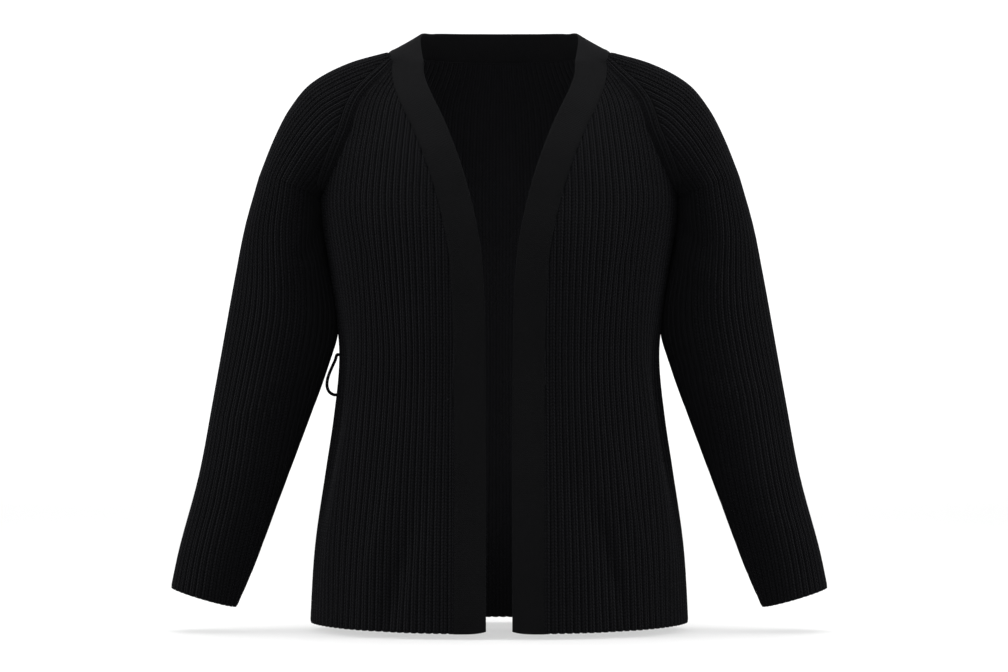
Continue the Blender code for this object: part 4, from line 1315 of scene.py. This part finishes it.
class CARDIGAN_OT_band(Operator):
    """The smooth band that edges the fronts and stands up round the neck"""

    bl_idname = "cardigan.band"
    bl_label = "Front and neck band"

    def execute(self, context):
        s = context.scene.cardigan
        obj = build_band(s)
        paint(obj, band_material(s))
        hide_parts("front_and_neck_band")
        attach(obj, "root")
        return {"FINISHED"}


class CARDIGAN_OT_belt_loop(Operator):
    """The knitted loop at the wearer's right side seam"""

    bl_idname = "cardigan.belt_loop"
    bl_label = "Belt loop"

    def execute(self, context):
        s = context.scene.cardigan
        obj = build_belt_loop(s)
        paint(obj, band_material(s))
        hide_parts("belt_loop")
        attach(obj, "root")
        return {"FINISHED"}


def floor_material(name, colour, roughness, glow):
    """A lit white floor, in which a shadow stays pale."""
    s = Shader(name)
    place = s.node("ShaderNodeTexCoord", {}, {}).wire("Object")
    grain = s.noise(place, 900.0, 2.0)
    s.put(s.surface.inputs["Base Color"], tuple(colour) + (1.0,))
    s.put(s.surface.inputs["Emission Color"], (1.0, 1.0, 1.0, 1.0))
    s.put(s.surface.inputs["Emission Strength"], glow)
    s.put(s.surface.inputs["Roughness"], (roughness + (grain - 0.5) * 0.05).clipped())
    return s.material


def backdrop(settings):
    """A floor that curves up into the wall behind."""
    bend, behind, ahead, tall, half = 2.4, 9.0, -8.0, 7.0, 8.0
    floor = HEM_Z - settings.floor_drop
    turn = np.linspace(0.0, 0.5 * math.pi, 25)
    y = np.concatenate([[ahead, 0.0], behind - bend + bend * np.sin(turn), [behind]])
    z = np.concatenate([[floor, floor], floor + bend - bend * np.cos(turn), [tall]])
    count = len(y)
    verts = [(x, a, b) for x in (-half, half) for a, b in zip(y, z)]
    faces = [(i, count + i, count + i + 1, i + 1) for i in range(count - 1)]
    mesh = bpy.data.meshes.new("floor")
    mesh.from_pydata(verts, [], faces)
    mesh.polygons.foreach_set("use_smooth", [True] * len(faces))
    obj = bpy.data.objects.new("floor", mesh)
    bpy.context.scene.collection.objects.link(obj)
    made = floor_material("floor", settings.floor_colour, 0.85, settings.floor_glow)
    obj.data.materials.append(made)
    return obj


def area_light(name, place, target, size, power):
    data = bpy.data.lights.new(name, "AREA")
    data.shape = "RECTANGLE"
    data.size, data.size_y = size
    data.energy = power
    obj = bpy.data.objects.new(name, data)
    obj.location = place
    aim = Vector(target) - Vector(place)
    obj.rotation_euler = aim.to_track_quat("-Z", "Y").to_euler()
    obj.visible_camera = False
    bpy.context.scene.collection.objects.link(obj)
    return obj


LIGHT_COLUMNS = ("name", "place", "target", "size", "power")
LIGHTS = [
    ("front", (-0.3, -3.4, 0.5), (0.0, 0.0, -0.25), (2.2, 1.4), "key_power"),
    ("side_left", (-2.6, -0.6, 0.3), (0.0, 0.0, -0.25), (1.4, 2.2), "side_power"),
    ("side_right", (2.6, -0.6, 0.3), (0.0, 0.0, -0.25), (1.4, 2.2), "side_power"),
    ("above", (0.0, 0.3, 2.2), (0.0, 0.0, -0.1), (2.4, 1.6), "top_power"),
    ("wall", (0.0, 5.5, 4.0), (0.0, 9.0, 0.2), (6.0, 1.5), "wall_power"),
    ("inside", (0.0, -0.03, -0.30), (0.0, 0.2, -0.28), (0.16, 0.50), "inside_power"),
]


class CARDIGAN_OT_stage(Operator):
    """Floor, soft lights and the camera"""

    bl_idname = "cardigan.stage"
    bl_label = "Stage"

    def execute(self, context):
        s = context.scene.cardigan_studio
        backdrop(s)
        for row in LIGHTS:
            light = dict(zip(LIGHT_COLUMNS, row))
            light["power"] = getattr(s, light["power"])
            area_light(**light)
        world = bpy.data.worlds.new("studio")
        world.use_nodes = True
        sky = world.node_tree.nodes["Background"]
        sky.inputs["Color"].default_value = (1.0, 1.0, 1.0, 1.0)
        sky.inputs["Strength"].default_value = s.sky
        context.scene.world = world
        context.scene.view_settings.view_transform = "Standard"
        data = bpy.data.cameras.new("camera")
        data.sensor_width = 36.0
        data.lens = data.sensor_width * CAMERA_DISTANCE / (PHOTO_SIZE[0] * METRES_PER_PIXEL)
        camera = bpy.data.objects.new("camera", data)
        x = (0.5 * PHOTO_SIZE[0] - MIDDLE_PIXEL_X) * METRES_PER_PIXEL
        z = -(0.5 * PHOTO_SIZE[1] - SHOULDER_PIXEL_Y) * METRES_PER_PIXEL
        camera.location = (x, -CAMERA_DISTANCE, z)
        camera.rotation_euler = (0.5 * math.pi, 0.0, 0.0)
        context.scene.collection.objects.link(camera)
        context.scene.camera = camera
        return {"FINISHED"}


class CARDIGAN_PT_pieces(Panel):
    """The pieces of the cardigan and its stage"""

    bl_idname = "CARDIGAN_PT_pieces"
    bl_label = "Rib Cardigan"
    bl_space_type = "VIEW_3D"
    bl_region_type = "UI"
    bl_category = "Cardigan"

    def draw(self, context):
        layout = self.layout
        for group in (context.scene.cardigan, context.scene.cardigan_studio):
            for name in group.__annotations__:
                layout.prop(group, name)
        for operator in OPERATORS:
            layout.operator(operator.bl_idname)


OPERATORS = (
    CARDIGAN_OT_fronts,
    CARDIGAN_OT_back,
    CARDIGAN_OT_sleeves,
    CARDIGAN_OT_band,
    CARDIGAN_OT_belt_loop,
    CARDIGAN_OT_stage,
)
CLASSES = (CardiganSettings, StudioSettings, *OPERATORS, CARDIGAN_PT_pieces)


def register():
    for cls in CLASSES:
        bpy.utils.register_class(cls)
    bpy.types.Scene.cardigan = PointerProperty(type=CardiganSettings)
    bpy.types.Scene.cardigan_studio = PointerProperty(type=StudioSettings)


def unregister():
    del bpy.types.Scene.cardigan_studio
    del bpy.types.Scene.cardigan
    for cls in reversed(CLASSES):
        bpy.utils.unregister_class(cls)


def main():
    register()
    bpy.ops.cardigan.fronts()
    bpy.ops.cardigan.back()
    bpy.ops.cardigan.sleeves()
    bpy.ops.cardigan.band()
    bpy.ops.cardigan.belt_loop()
    bpy.ops.cardigan.stage()


if __name__ == "__main__":
    main()
